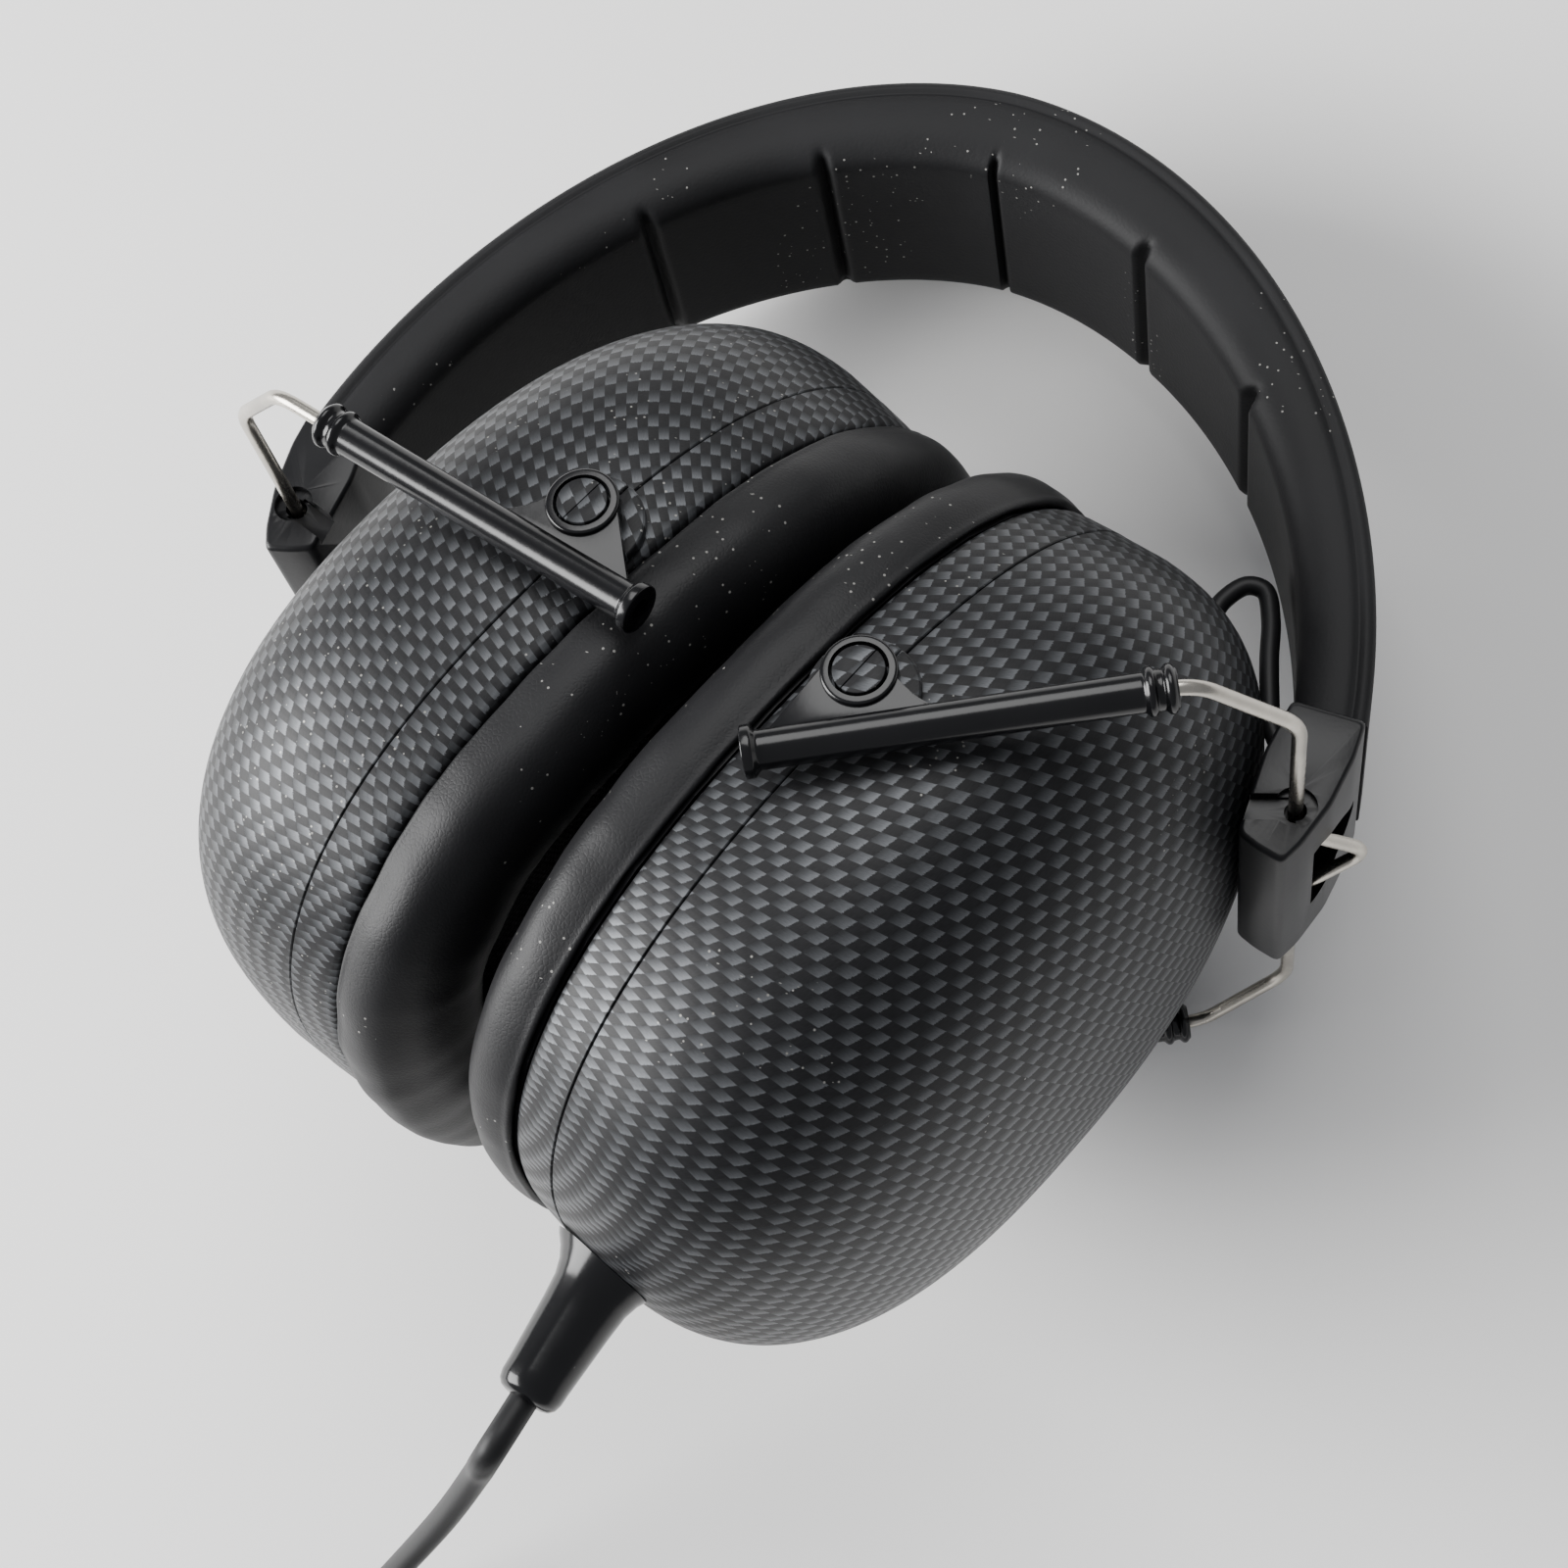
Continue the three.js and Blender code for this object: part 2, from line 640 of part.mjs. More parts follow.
const bootEnd = bootRoot.clone().add(point(
  (BOOT_LENGTH + GAP) * Math.sin(radians(BOOT_LEAN)),
  -(BOOT_LENGTH + GAP) * Math.cos(radians(BOOT_LEAN)),
  0,
));

// The route from the boot to the coil, lying on Z = 0 at its end.
function cordLead(exit, heading) {
  const route = [
    exit,
    exit.clone().addScaledVector(heading, 7),
    point(-1.6, -100.5, 72),
    point(-10.5, -113.5, 52),
    point(-21.5, -129, 31),
    point(-32, -144, 13.5),
    point(-40, -156, 4.2),
    point(-44.6, -164, CORD_RADIUS),
    point(-47.2, -169.5, CORD_RADIUS),
  ];
  return tubeAlong(smooth(route, 26), CORD_RADIUS, 8);
}

function cordCoil() {
  const inner = COIL_MIDDLE_RADIUS - COIL_HALF_WIDTH;
  const outer = COIL_MIDDLE_RADIUS + COIL_HALF_WIDTH;
  const corner = 1;
  return turned([
    [0, inner + corner], [0, outer - corner], [corner, outer],
    [COIL_HEIGHT - corner, outer], [COIL_HEIGHT, outer - corner],
    [COIL_HEIGHT, inner + corner], [COIL_HEIGHT - corner, inner],
    [corner, inner], [0, inner + corner],
  ], 32).rotateY(-Math.PI / 2).translate(COIL_CENTRE.x, COIL_CENTRE.y, 0);
}

const plugRear = point(13, -187, PLUG_RADIUS);

function cordTail() {
  const route = [
    point(-14.5, -217.9, CORD_RADIUS),
    point(-8, -215.6, CORD_RADIUS),
    point(3, -209.5, CORD_RADIUS + 0.3),
    point(10.5, -199.5, CORD_RADIUS + 1.4),
    point(plugRear.x, plugRear.y - GAP - 4, PLUG_RADIUS),
    point(plugRear.x, plugRear.y - GAP, PLUG_RADIUS),
  ];
  return tubeAlong(smooth(route, 10), CORD_RADIUS, 8);
}

// The plug's body and its metal part lie on the surface, pointing along +Y.
function plugBody() {
  return turned([
    [0, 0], [0, 2.7], [7, 3.1], [8, PLUG_RADIUS - 0.4], [9, PLUG_RADIUS],
    [PLUG_LENGTH - 1, PLUG_RADIUS], [PLUG_LENGTH, PLUG_RADIUS - 0.8], [PLUG_LENGTH, 0],
  ], 16).rotateZ(Math.PI / 2).translate(plugRear.x, plugRear.y, plugRear.z);
}

function plugContacts() {
  const start = PLUG_LENGTH + GAP;
  return turned([
    [start, 0], [start, 2.9], [start + 1, 2.9], [start + 1, 1.75],
    [start + 11, 1.75], [start + 11.8, 1.1], [start + 12.8, 1.7], [start + 14.6, 0.5], [start + 15, 0],
  ], 12).rotateZ(Math.PI / 2).translate(plugRear.x, plugRear.y, plugRear.z);
}

// ------------------------------------------------------------------ assembly
const headset = new THREE.Group();
const arch = new THREE.Group();
arch.rotation.x = radians(-REST_TILT);
headset.add(arch);

function piece(name, geometry, material, parent) {
  const mesh = new THREE.Mesh(geometry, material);
  mesh.name = name;
  mesh.geometry.computeVertexNormals();
  parent.add(mesh);
  return mesh;
}

// The left-hand copy of a right-hand shape.
function handed(geometry, sign) {
  return sign > 0 ? geometry : closed(geometry.clone().scale(-1, 1, 1));
}

piece('headband_pad', headbandPad(), bandSkin(), arch);
piece('headband_spring_strip', springStrip(), springSteel(), arch);
piece('headband_inner_cable', innerCable(), cordRubber(), arch);

const along = (side) => SPLAY + side.exposed + TUBE_LENGTH - BOSS_BACK;

function swivelPlace(side) {
  const turn = radians(side.fold);
  const reach = along(side);
  return point(
    side.sign * (HINGE_HALF_SPAN - reach * Math.cos(turn) - BOSS_OFFSET * Math.sin(turn)),
    -reach * Math.sin(turn) + BOSS_OFFSET * Math.cos(turn),
    0,
  );
}

function addSide(side) {
  const add = (name, geometry, material, parent) => piece(
    `${side.name}_${name}`, handed(geometry, side.sign), material, parent,
  );
  const hinge = new THREE.Group();
  hinge.position.set(side.sign * HINGE_HALF_SPAN, 0, 0);
  arch.add(hinge);
  add('end_block', endBlock(), satinPlastic(), hinge);

  const yoke = new THREE.Group();
  yoke.rotation.z = side.sign * radians(side.fold);
  hinge.add(yoke);
  add('wire_yoke', wireYoke(TUBE_LENGTH + side.exposed - 5), platedSteel(), yoke);

  const arms = new THREE.Group();
  arms.position.copy(swivelPlace(side));
  arms.rotation.z = side.sign * radians(side.fold);
  arch.add(arms);
  const tube = armTube();
  add('upper_arm', tube.clone().translate(0, 0, ARM_HEIGHT), glossPlastic(), arms);
  const lower = closed(tube.clone().scale(1, 1, -1)).translate(0, 0, -ARM_HEIGHT);
  add('lower_arm', lower, glossPlastic(), arms);

  const cup = new THREE.Group();
  cup.position.copy(swivelPlace(side));
  cup.rotation.z = radians(side.cupTilt);
  arch.add(cup);
  add('outer_shell', outerShell(), shellPlastic(), cup);
  add('rear_shell', cut(rearShell(), screwHole(1), screwHole(-1)), shellPlastic(), cup);
  add('baffle_plate', cut(bafflePlate(), screwHole(1), screwHole(-1)), satinPlastic(), cup);
  add('driver_frame', driverFrame(), satinPlastic(), cup);
  add('driver_magnet', driverMagnet(), springSteel(), cup);
  add('driver_diaphragm', driverDiaphragm(), clothScreen(), cup);
  add('terminal_board', terminalBoard(), boardGreen(), cup);
  add('foam_liner', foamLiner(), openFoam(), cup);
  add('top_screw', shellScrew(1), springSteel(), cup);
  add('bottom_screw', shellScrew(-1), springSteel(), cup);
  add('cushion_ring', cushionRing(), satinPlastic(), cup);
  add('screen_cloth', screenCloth(), clothScreen(), cup);
  add('ear_cushion', earCushion(), leatherette(), cup);
  if (side.name === 'right') add('strain_relief', strainRelief(), glossPlastic(), cup);

  const outlet = arch.worldToLocal(cup.localToWorld(
    point(side.sign * BRIDGE_OUTLET.x, BRIDGE_OUTLET.y, side.bridgeHeight),
  ));
  const route = [outlet, ...side.bridge.map((place) => point(...place))];
  piece(
    `${side.name}_bridge_cable`,
    tubeAlong(smooth(route, 18), BRIDGE_RADIUS, 8),
    cordRubber(),
    arch,
  );
  return cup;
}

headset.updateMatrixWorld(true);
const [rightCup] = SIDES.map(addSide);

// The headset stands on Z = 0 with its middle over the origin.
headset.updateMatrixWorld(true);
const extent = new THREE.Box3().setFromObject(arch, true);
const middle = extent.getCenter(new THREE.Vector3());
arch.position.set(-middle.x, -middle.y, -extent.min.z);
headset.updateMatrixWorld(true);

const bootFoot = rightCup.localToWorld(bootRoot.clone());
const cordExit = rightCup.localToWorld(bootEnd.clone());
const cordHeading = cordExit.clone().sub(bootFoot).normalize();
piece('cord_lead', cordLead(cordExit, cordHeading), cordRubber(), headset);
piece('cord_coil', cordCoil(), cordRubber(), headset);
piece('cord_tail', cordTail(), cordRubber(), headset);
piece('plug_body', plugBody(), satinPlastic(), headset);
piece('plug_contacts', plugContacts(), goldPlate(), headset);

export default headset;
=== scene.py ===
"""Looks of a folding earmuff hearing protector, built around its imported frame."""
import json
import math

import bmesh
import bpy
from mathutils import Matrix, Vector, noise


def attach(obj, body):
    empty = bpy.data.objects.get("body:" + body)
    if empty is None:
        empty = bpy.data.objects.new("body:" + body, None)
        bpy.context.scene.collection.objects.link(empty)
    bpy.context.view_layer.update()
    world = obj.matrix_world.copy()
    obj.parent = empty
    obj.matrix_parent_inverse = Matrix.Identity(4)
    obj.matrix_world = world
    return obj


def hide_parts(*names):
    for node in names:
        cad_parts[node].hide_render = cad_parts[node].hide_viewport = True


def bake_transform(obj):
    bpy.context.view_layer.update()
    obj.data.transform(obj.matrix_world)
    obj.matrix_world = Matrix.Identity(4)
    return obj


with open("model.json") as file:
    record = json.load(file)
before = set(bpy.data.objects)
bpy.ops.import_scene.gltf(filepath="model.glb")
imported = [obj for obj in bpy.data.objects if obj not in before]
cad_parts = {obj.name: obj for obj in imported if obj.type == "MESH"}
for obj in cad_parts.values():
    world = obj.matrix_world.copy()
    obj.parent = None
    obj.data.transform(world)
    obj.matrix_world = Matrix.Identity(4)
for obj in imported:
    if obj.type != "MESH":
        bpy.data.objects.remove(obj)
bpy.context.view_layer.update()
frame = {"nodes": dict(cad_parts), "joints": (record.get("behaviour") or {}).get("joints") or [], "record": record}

# ------------------------------------------------------------------ dimensions
# Shapes are drawn in millimetres, in the same local frames as the CAD parts.
MM = 0.001
GAP = 0.3
SIDES = {"right": 1, "left": -1}

BAND_HALF_SPAN = 73.3
BAND_RISE = 88.4
BAND_EXPONENT = 1.88
BAND_WIDTH = (30.0, 35.0)        # at the ends, at the crown
BAND_THICKNESS = (9.0, 12.0)
SLOT_HALF = 7.3
SLOT_TOP = 3.1
SLOT_FLOOR = 6.6
BAND_END = 13.7
GROOVE_TURNS = (44, 64.8, 89, 113, 133.5)   # degrees along the arch
GROOVE_WIDTH = 1.5
GROOVE_DEPTH = 1.5

BLOCK_HALF_WIDTH = 16.0
CHANNEL_HALF = 1.7
WIRE_RADIUS = 0.9
WIRE_CORNER = 37.7
SPLAY = 11.4
CRANK_REACH = 9.3
CRANK_HALF_HEIGHT = 9.0
CRANK_SWEEP = (-28, 140)

ARM_HEIGHT = 51.3
TUBE_RADIUS = 2.25
TUBE_BORE = 1.38
TUBE_LENGTH = 47.1
BOSS_BACK = 13.6
BOSS_OFFSET = 7.2
BOSS_RADIUS = 4.3
BOSS_HOLE = 3.35
BOSS_INNER = 49.4
BOSS_OUTER = 52.8
PIN_RADIUS = 2.95
PIN_SPLIT = 0.04
WIRE_EXPOSED = {"right": 1.9, "left": 7.5}

CUP_TILT = {"right": math.radians(-19.9), "left": math.radians(-21.8)}
CUP_HALF_HEIGHT = 55.0
CUP_HALF_DEPTH = 47.4
CUP_CENTRE = -7.2
CUP_RISE = 36.3
CUP_ROUNDNESS = 2.5
CUP_WIDEST = 6.0
CUP_SAG = 6.5
CUP_DRAFT = 0.5
SEAM = 0.14
OVAL_EXPONENT = 2.35
WALL = 2.2
REAR_DEPTH = 7.0
REAR_OPENING = 20.0
CUSHION_RING = 1.6
CUSHION_DEPTH = 9.0
CUSHION_WIDTH = 19.0

BOOT_ROOT = (6.5, CUP_CENTRE - CUP_HALF_HEIGHT + 1.5, 0.0)
BOOT_LENGTH = 19.0
BOOT_LEAN = math.radians(10.4)
BRIDGE_RADIUS = 1.25
BRIDGE_OUTLET = (8.0, 50.5)
CORD_RADIUS = 1.85
COIL_CENTRE = (-22.0, -188.0)
COIL_COLUMNS = (26.55, 22.85, 19.15, 15.45)   # radii of the turns
COIL_LAYERS = (1.85, 5.55, 9.25)
PLUG_REAR = (13.0, -187.0, 4.2)
PLUG_RADIUS = 4.2
PLUG_LENGTH = 26.0

# The printed weave: both edges of one cell as lengths and headings on the film.
WEAVE = {
    "right": ((1.9, math.radians(-67)), (1.95, math.radians(-8))),
    "left": ((2.0, math.radians(115)), (1.6, math.radians(8))),
}

# ---------------------------------------------------------------- local frames
joints = {joint["name"]: joint for joint in frame["joints"]}
arch_x = Vector((1, 0, 0))
arch_z = Vector(joints["right_fold"]["axis"]).normalized()
arch_y = arch_z.cross(arch_x)
hinges = {side: Vector(joints[side + "_fold"]["pos_m"]) for side in SIDES}
pins = {side: Vector(joints[side + "_swivel"]["pos_m"]) for side in SIDES}


def place(origin, x_axis, y_axis, z_axis):
    """Matrix from millimetres in a local frame to metres in the row frame."""
    turn = Matrix((x_axis, y_axis, z_axis)).transposed()
    return Matrix.Translation(origin) @ (turn * MM).to_4x4()


def side_place(side, origin, x_axis):
    """A frame on one side: X away from the head, Y towards the crown."""
    x_axis = Vector(x_axis).normalized()
    return place(origin, x_axis, SIDES[side] * arch_z.cross(x_axis), arch_z)


arch_place = place((hinges["right"] + hinges["left"]) / 2, arch_x, arch_y, arch_z)
block_place = {s: side_place(s, hinges[s], SIDES[s] * arch_x) for s in SIDES}
yoke_place = {}
arm_place = {}
cup_place = {}
for side in SIDES:
    leg = -Vector(joints[side + "_extend"]["axis"])
    tilt = CUP_TILT[side]
    outward = SIDES[side] * (math.cos(tilt) * arch_x + math.sin(tilt) * arch_y)
    yoke_place[side] = side_place(side, hinges[side], leg)
    arm_place[side] = side_place(side, pins[side], leg)
    cup_place[side] = side_place(side, pins[side], outward)


# ---------------------------------------------------------------------- camera
def add_camera():
    """The photograph's viewpoint, given in the arch's frame."""
    target = arch_place @ Vector((4.06, -10.49, 0))
    back = Vector((0.2773, -0.3462, 0.8963))
    right = Vector((0.9160, 0.3766, -0.1379))
    axes = Matrix((arch_x, arch_y, arch_z)).transposed()
    back = (axes @ back).normalized()
    right = (axes @ right).normalized()
    up = back.cross(right)
    data = bpy.data.cameras.new("camera")
    data.lens = 65.5
    data.sensor_width = 36
    data.clip_start = 0.01
    data.clip_end = 20
    camera = bpy.data.objects.new("camera", data)
    camera.matrix_world = (
        Matrix.Translation(target + back * 0.3625)
        @ Matrix((right, up, back)).transposed().to_4x4()
    )
    bpy.context.scene.collection.objects.link(camera)
    bpy.context.scene.camera = camera


# ------------------------------------------------------------------- materials
def node_tree(name):
    material = bpy.data.materials.new(name)
    material.use_nodes = True
    tree = material.node_tree
    return material, tree, tree.nodes["Principled BSDF"]


def wire(tree, start, end):
    tree.links.new(start, end)


def maths(tree, operation, *values):
    """A Math node with sockets or numbers as its inputs."""
    node = tree.nodes.new("ShaderNodeMath")
    node.operation = operation
    for socket, value in zip(node.inputs, values):
        if isinstance(value, (int, float)):
            socket.default_value = value
        else:
            wire(tree, value, socket)
    return node.outputs[0]


def noise_at(tree, scale, detail=3.0, stretch=None):
    """Noise in the object's own space, with its size in features per metre."""
    where = tree.nodes.new("ShaderNodeTexCoord").outputs["Object"]
    if stretch:
        mapping = tree.nodes.new("ShaderNodeMapping")
        mapping.inputs["Scale"].default_value = stretch
        wire(tree, where, mapping.inputs["Vector"])
        where = mapping.outputs["Vector"]
    node = tree.nodes.new("ShaderNodeTexNoise")
    node.inputs["Scale"].default_value = scale
    node.inputs["Detail"].default_value = detail
    wire(tree, where, node.inputs["Vector"])
    return node.outputs["Fac"]


def ramp(tree, factor, low, high, stops=(0.3, 0.7)):
    """Runs from one colour to the other as the factor rises."""
    node = tree.nodes.new("ShaderNodeValToRGB")
    node.color_ramp.elements[0].position = stops[0]
    node.color_ramp.elements[1].position = stops[1]
    node.color_ramp.elements[0].color = (*low, 1)
    node.color_ramp.elements[1].color = (*high, 1)
    wire(tree, factor, node.inputs["Fac"])
    return node.outputs["Color"]


def span(tree, factor, low, high):
    node = tree.nodes.new("ShaderNodeMapRange")
    node.inputs["To Min"].default_value = low
    node.inputs["To Max"].default_value = high
    wire(tree, factor, node.inputs["Value"])
    return node.outputs["Result"]


def mixed(tree, factor, first, second):
    node = tree.nodes.new("ShaderNodeMix")
    node.data_type = "RGBA"
    wire(tree, factor, node.inputs["Factor"])
    for socket, value in ((node.inputs[6], first), (node.inputs[7], second)):
        if isinstance(value, tuple):
            socket.default_value = (*value, 1)
        else:
            wire(tree, value, socket)
    return node.outputs[2]


def bumped(tree, shader, height, distance, strength=1.0):
    """Adds a relief, with its depth in millimetres."""
    node = tree.nodes.new("ShaderNodeBump")
    node.inputs["Distance"].default_value = distance * MM
    node.inputs["Strength"].default_value = strength
    wire(tree, height, node.inputs["Height"])
    wire(tree, node.outputs["Normal"], shader.inputs["Normal"])


def specks(tree, amount, size):
    """Mask of dust specks and short lint, thicker in some places than in others."""
    where = tree.nodes.new("ShaderNodeTexCoord").outputs["Object"]
    marks = []
    kinds = (((1, 1, 1), (0, 0, 0), 0.13), ((0.45, 1.6, 1.6), (0.4, 0.7, 0.9), 0.075))
    for stretch, turn, reach in kinds:
        mapping = tree.nodes.new("ShaderNodeMapping")
        mapping.inputs["Scale"].default_value = stretch
        mapping.inputs["Rotation"].default_value = turn
        wire(tree, where, mapping.inputs["Vector"])
        cells = tree.nodes.new("ShaderNodeTexVoronoi")
        cells.inputs["Scale"].default_value = size
        wire(tree, mapping.outputs["Vector"], cells.inputs["Vector"])
        dots = maths(tree, "LESS_THAN", cells.outputs["Distance"], reach)
        rare = tree.nodes.new("ShaderNodeSeparateColor")
        wire(tree, cells.outputs["Color"], rare.inputs["Color"])
        some = maths(tree, "LESS_THAN", rare.outputs["Red"], 0.5)
        marks.append(maths(tree, "MULTIPLY", dots, some))
    patches = maths(tree, "GREATER_THAN", noise_at(tree, 38, 2), 1 - amount)
    facing = tree.nodes.new("ShaderNodeSeparateXYZ")
    wire(tree, tree.nodes.new("ShaderNodeTexCoord").outputs["Normal"], facing.inputs["Vector"])
    upward = maths(tree, "GREATER_THAN", facing.outputs["Z"], 0.3)
    settled = maths(tree, "MULTIPLY", patches, upward)
    return maths(tree, "MULTIPLY", maths(tree, "MAXIMUM", marks[0], marks[1]), settled)


DUST = (0.24, 0.235, 0.22)


def plain_skin(name, low, high, rough, grain, depth, patch=60, dust=0.0, **sockets):
    """A moulded or coated surface: colour patches, uneven gloss, fine grain."""
    material, tree, shader = node_tree(name)
    wide = noise_at(tree, patch, 4)
    colour = ramp(tree, wide, low, high)
    if dust:
        colour = mixed(tree, specks(tree, dust, 900), colour, DUST)
    wire(tree, colour, shader.inputs["Base Color"])
    wire(tree, span(tree, wide, rough[0], rough[1]), shader.inputs["Roughness"])
    bumped(tree, shader, noise_at(tree, grain, 2), depth)
    for socket, value in sockets.items():
        shader.inputs[socket.replace("_", " ")].default_value = value
    return material


def leather(name):
    """Black leatherette: fine pebbled grain with soft creases."""
    material, tree, shader = node_tree(name)
    where = tree.nodes.new("ShaderNodeTexCoord").outputs["Object"]
    pebbles = tree.nodes.new("ShaderNodeTexVoronoi")
    pebbles.feature = "DISTANCE_TO_EDGE"
    pebbles.inputs["Scale"].default_value = 1700
    wire(tree, where, pebbles.inputs["Vector"])
    wide = noise_at(tree, 45, 4)
    colour = ramp(tree, wide, (0.006, 0.006, 0.0068), (0.011, 0.011, 0.012))
    colour = mixed(tree, specks(tree, 0.47, 800), colour, DUST)
    wire(tree, colour, shader.inputs["Base Color"])
    wire(tree, span(tree, wide, 0.42, 0.56), shader.inputs["Roughness"])
    edge = maths(tree, "MINIMUM", pebbles.outputs["Distance"], 0.25)
    height = maths(tree, "ADD", edge, maths(tree, "MULTIPLY", noise_at(tree, 260, 3), 0.8))
    bumped(tree, shader, height, 0.05)
    shader.inputs["Specular IOR Level"].default_value = 0.26
    return material


def woven_print(name):
    """Satin plastic printed with woven fibres, laid by the film's own map."""
    material, tree, shader = node_tree(name)
    film = tree.nodes.new("ShaderNodeUVMap")
    film.uv_map = "film"

    def threads(stretch, detail=2.0):
        mapping = tree.nodes.new("ShaderNodeMapping")
        mapping.inputs["Scale"].default_value = stretch
        wire(tree, film.outputs["UV"], mapping.inputs["Vector"])
        texture = tree.nodes.new("ShaderNodeTexNoise")
        texture.inputs["Scale"].default_value = 1.0
        texture.inputs["Detail"].default_value = detail
        wire(tree, mapping.outputs["Vector"], texture.inputs["Vector"])
        return texture.outputs["Fac"]

    split = tree.nodes.new("ShaderNodeSeparateXYZ")
    wire(tree, film.outputs["UV"], split.inputs["Vector"])
    ragged = maths(tree, "MULTIPLY_ADD", threads((1.5, 22, 1), 1.0), 0.3, split.outputs["X"])
    row = maths(tree, "FLOOR", split.outputs["Y"])
    column = maths(tree, "FLOOR", ragged)
    pale_cell = maths(tree, "PINGPONG", maths(tree, "ADD", row, column), 1.0)
    along = maths(tree, "FRACT", ragged)
    across = maths(tree, "FRACT", split.outputs["Y"])
    sheen = maths(tree, "POWER", along, 1.4)
    fibres = span(tree, threads((3, 20, 1)), 0.35, 1.5)
    lit = maths(tree, "MULTIPLY_ADD", maths(tree, "MULTIPLY", sheen, fibres), 0.85, 0.2)
    pale = tree.nodes.new("ShaderNodeVectorMath")
    pale.operation = "SCALE"
    pale.inputs[0].default_value = (0.118, 0.123, 0.131)
    wire(tree, lit, pale.inputs["Scale"])
    dark = ramp(tree, threads((18, 2, 1)), (0.003, 0.003, 0.0036), (0.009, 0.009, 0.0104))
    colour = mixed(tree, pale_cell, dark, pale.outputs["Vector"])
    colour = mixed(tree, specks(tree, 0.47, 900), colour, DUST)
    wire(tree, colour, shader.inputs["Base Color"])
    wire(tree, maths(tree, "MULTIPLY", pale_cell, 0.6), shader.inputs["Metallic"])
    wire(tree, span(tree, pale_cell, 0.5, 0.44), shader.inputs["Roughness"])
    pale_crown = maths(tree, "MULTIPLY", pale_cell, maths(tree, "PINGPONG", along, 0.5))
    dark_cell = maths(tree, "SUBTRACT", 1.0, pale_cell)
    dark_crown = maths(tree, "MULTIPLY", dark_cell, maths(tree, "PINGPONG", across, 0.5))
    crown = maths(tree, "ADD", pale_crown, dark_crown)
    height = maths(tree, "MULTIPLY_ADD", noise_at(tree, 3000, 1), 0.25, crown)
    bumped(tree, shader, height, 0.03)
    shader.inputs["Specular IOR Level"].default_value = 0.28
    return material


def plated_metal(name, low, high, rough, stretch=None):
    material, tree, shader = node_tree(name)
    wide = noise_at(tree, 180, 4, stretch)
    wire(tree, ramp(tree, wide, low, high), shader.inputs["Base Color"])
    wire(tree, span(tree, wide, rough[0], rough[1]), shader.inputs["Roughness"])
    bumped(tree, shader, noise_at(tree, 2500, 2, stretch), 0.006)
    shader.inputs["Metallic"].default_value = 1.0
    return material


def open_foam(name):
    material, tree, shader = node_tree(name)
    where = tree.nodes.new("ShaderNodeTexCoord").outputs["Object"]
    pores = tree.nodes.new("ShaderNodeTexVoronoi")
    pores.inputs["Scale"].default_value = 900
    wire(tree, where, pores.inputs["Vector"])
    # The colour follows the pores' relief, darker in the pits and lighter on the rims between them: painted shade
    # in the pits.
    wire(
        tree, ramp(tree, pores.outputs["Distance"], (0.015, 0.015, 0.016), (0.09, 0.09, 0.092)),
        shader.inputs["Base Color"],
    )
    shader.inputs["Roughness"].default_value = 0.95
    bumped(tree, shader, pores.outputs["Distance"], 0.4)
    return material


def woven_cloth(name):
    """Thin speaker cloth of crossed threads."""
    material, tree, shader = node_tree(name)
    where = tree.nodes.new("ShaderNodeTexCoord").outputs["Object"]
    waves = []
    for direction in ("Y", "Z"):
        wave = tree.nodes.new("ShaderNodeTexWave")
        wave.bands_direction = direction
        wave.inputs["Scale"].default_value = 420
        wave.inputs["Distortion"].default_value = 0.4
        wire(tree, where, wave.inputs["Vector"])
        waves.append(wave.outputs["Fac"])
    weave = maths(tree, "MULTIPLY", waves[0], waves[1])
    # The colour follows the weave's relief, darker between the threads and lighter where they cross: painted shade
    # and painted light on the threads.
    colour = ramp(tree, weave, (0.004, 0.004, 0.004), (0.02, 0.02, 0.021))
    wire(tree, colour, shader.inputs["Base Color"])
    shader.inputs["Roughness"].default_value = 0.9
    bumped(tree, shader, weave, 0.12)
    return material


def circuit_board(name):
    material, tree, shader = node_tree(name)
    patches = noise_at(tree, 420, 1)
    colour = ramp(tree, patches, (0.012, 0.09, 0.035), (0.03, 0.19, 0.07), (0.48, 0.52))
    wire(tree, colour, shader.inputs["Base Color"])
    shader.inputs["Roughness"].default_value = 0.35
    bumped(tree, shader, patches, 0.04)
    return material


def make_materials():
    return {
        "carbon_shell": woven_print("woven_print"),
        "gloss_black": plain_skin(
            "gloss_black", (0.003, 0.003, 0.0034), (0.006, 0.006, 0.007), (0.14, 0.24), 700, 0.01,
            dust=0.36, Specular_IOR_Level=0.4),
        "satin_black": plain_skin(
            "satin_black", (0.004, 0.004, 0.0046), (0.009, 0.009, 0.010), (0.3, 0.42), 1500, 0.015,
            dust=0.3, Specular_IOR_Level=0.3),
        "leatherette": leather("leatherette"),
        "band_skin": plain_skin(
            "band_skin", (0.005, 0.005, 0.0056), (0.011, 0.011, 0.012), (0.5, 0.66), 2200, 0.03,
            50, 0.48, Specular_IOR_Level=0.24),
        "plated_wire": plated_metal("plated_wire", (0.43, 0.405, 0.36), (0.62, 0.585, 0.52), (0.2, 0.34)),
        "spring_steel": plated_metal("spring_steel", (0.3, 0.3, 0.31), (0.45, 0.45, 0.46), (0.25, 0.4)),
        "foam": open_foam("open_foam"),
        "cloth": woven_cloth("speaker_cloth"),
        "board": circuit_board("circuit_board"),
        "cord_rubber": plain_skin(
            "cord_rubber", (0.006, 0.006, 0.0065), (0.012, 0.012, 0.013), (0.42, 0.56), 1300, 0.012,
            Specular_IOR_Level=0.28),
        "gold_plate": plated_metal("gold_plate", (0.62, 0.42, 0.14), (0.85, 0.62, 0.26), (0.16, 0.3)),
    }


# -------------------------------------------------------------- mesh machinery
def new_object(name, mesh):
    made = bpy.data.objects.new(name, mesh)
    bpy.context.scene.collection.objects.link(made)
    return made


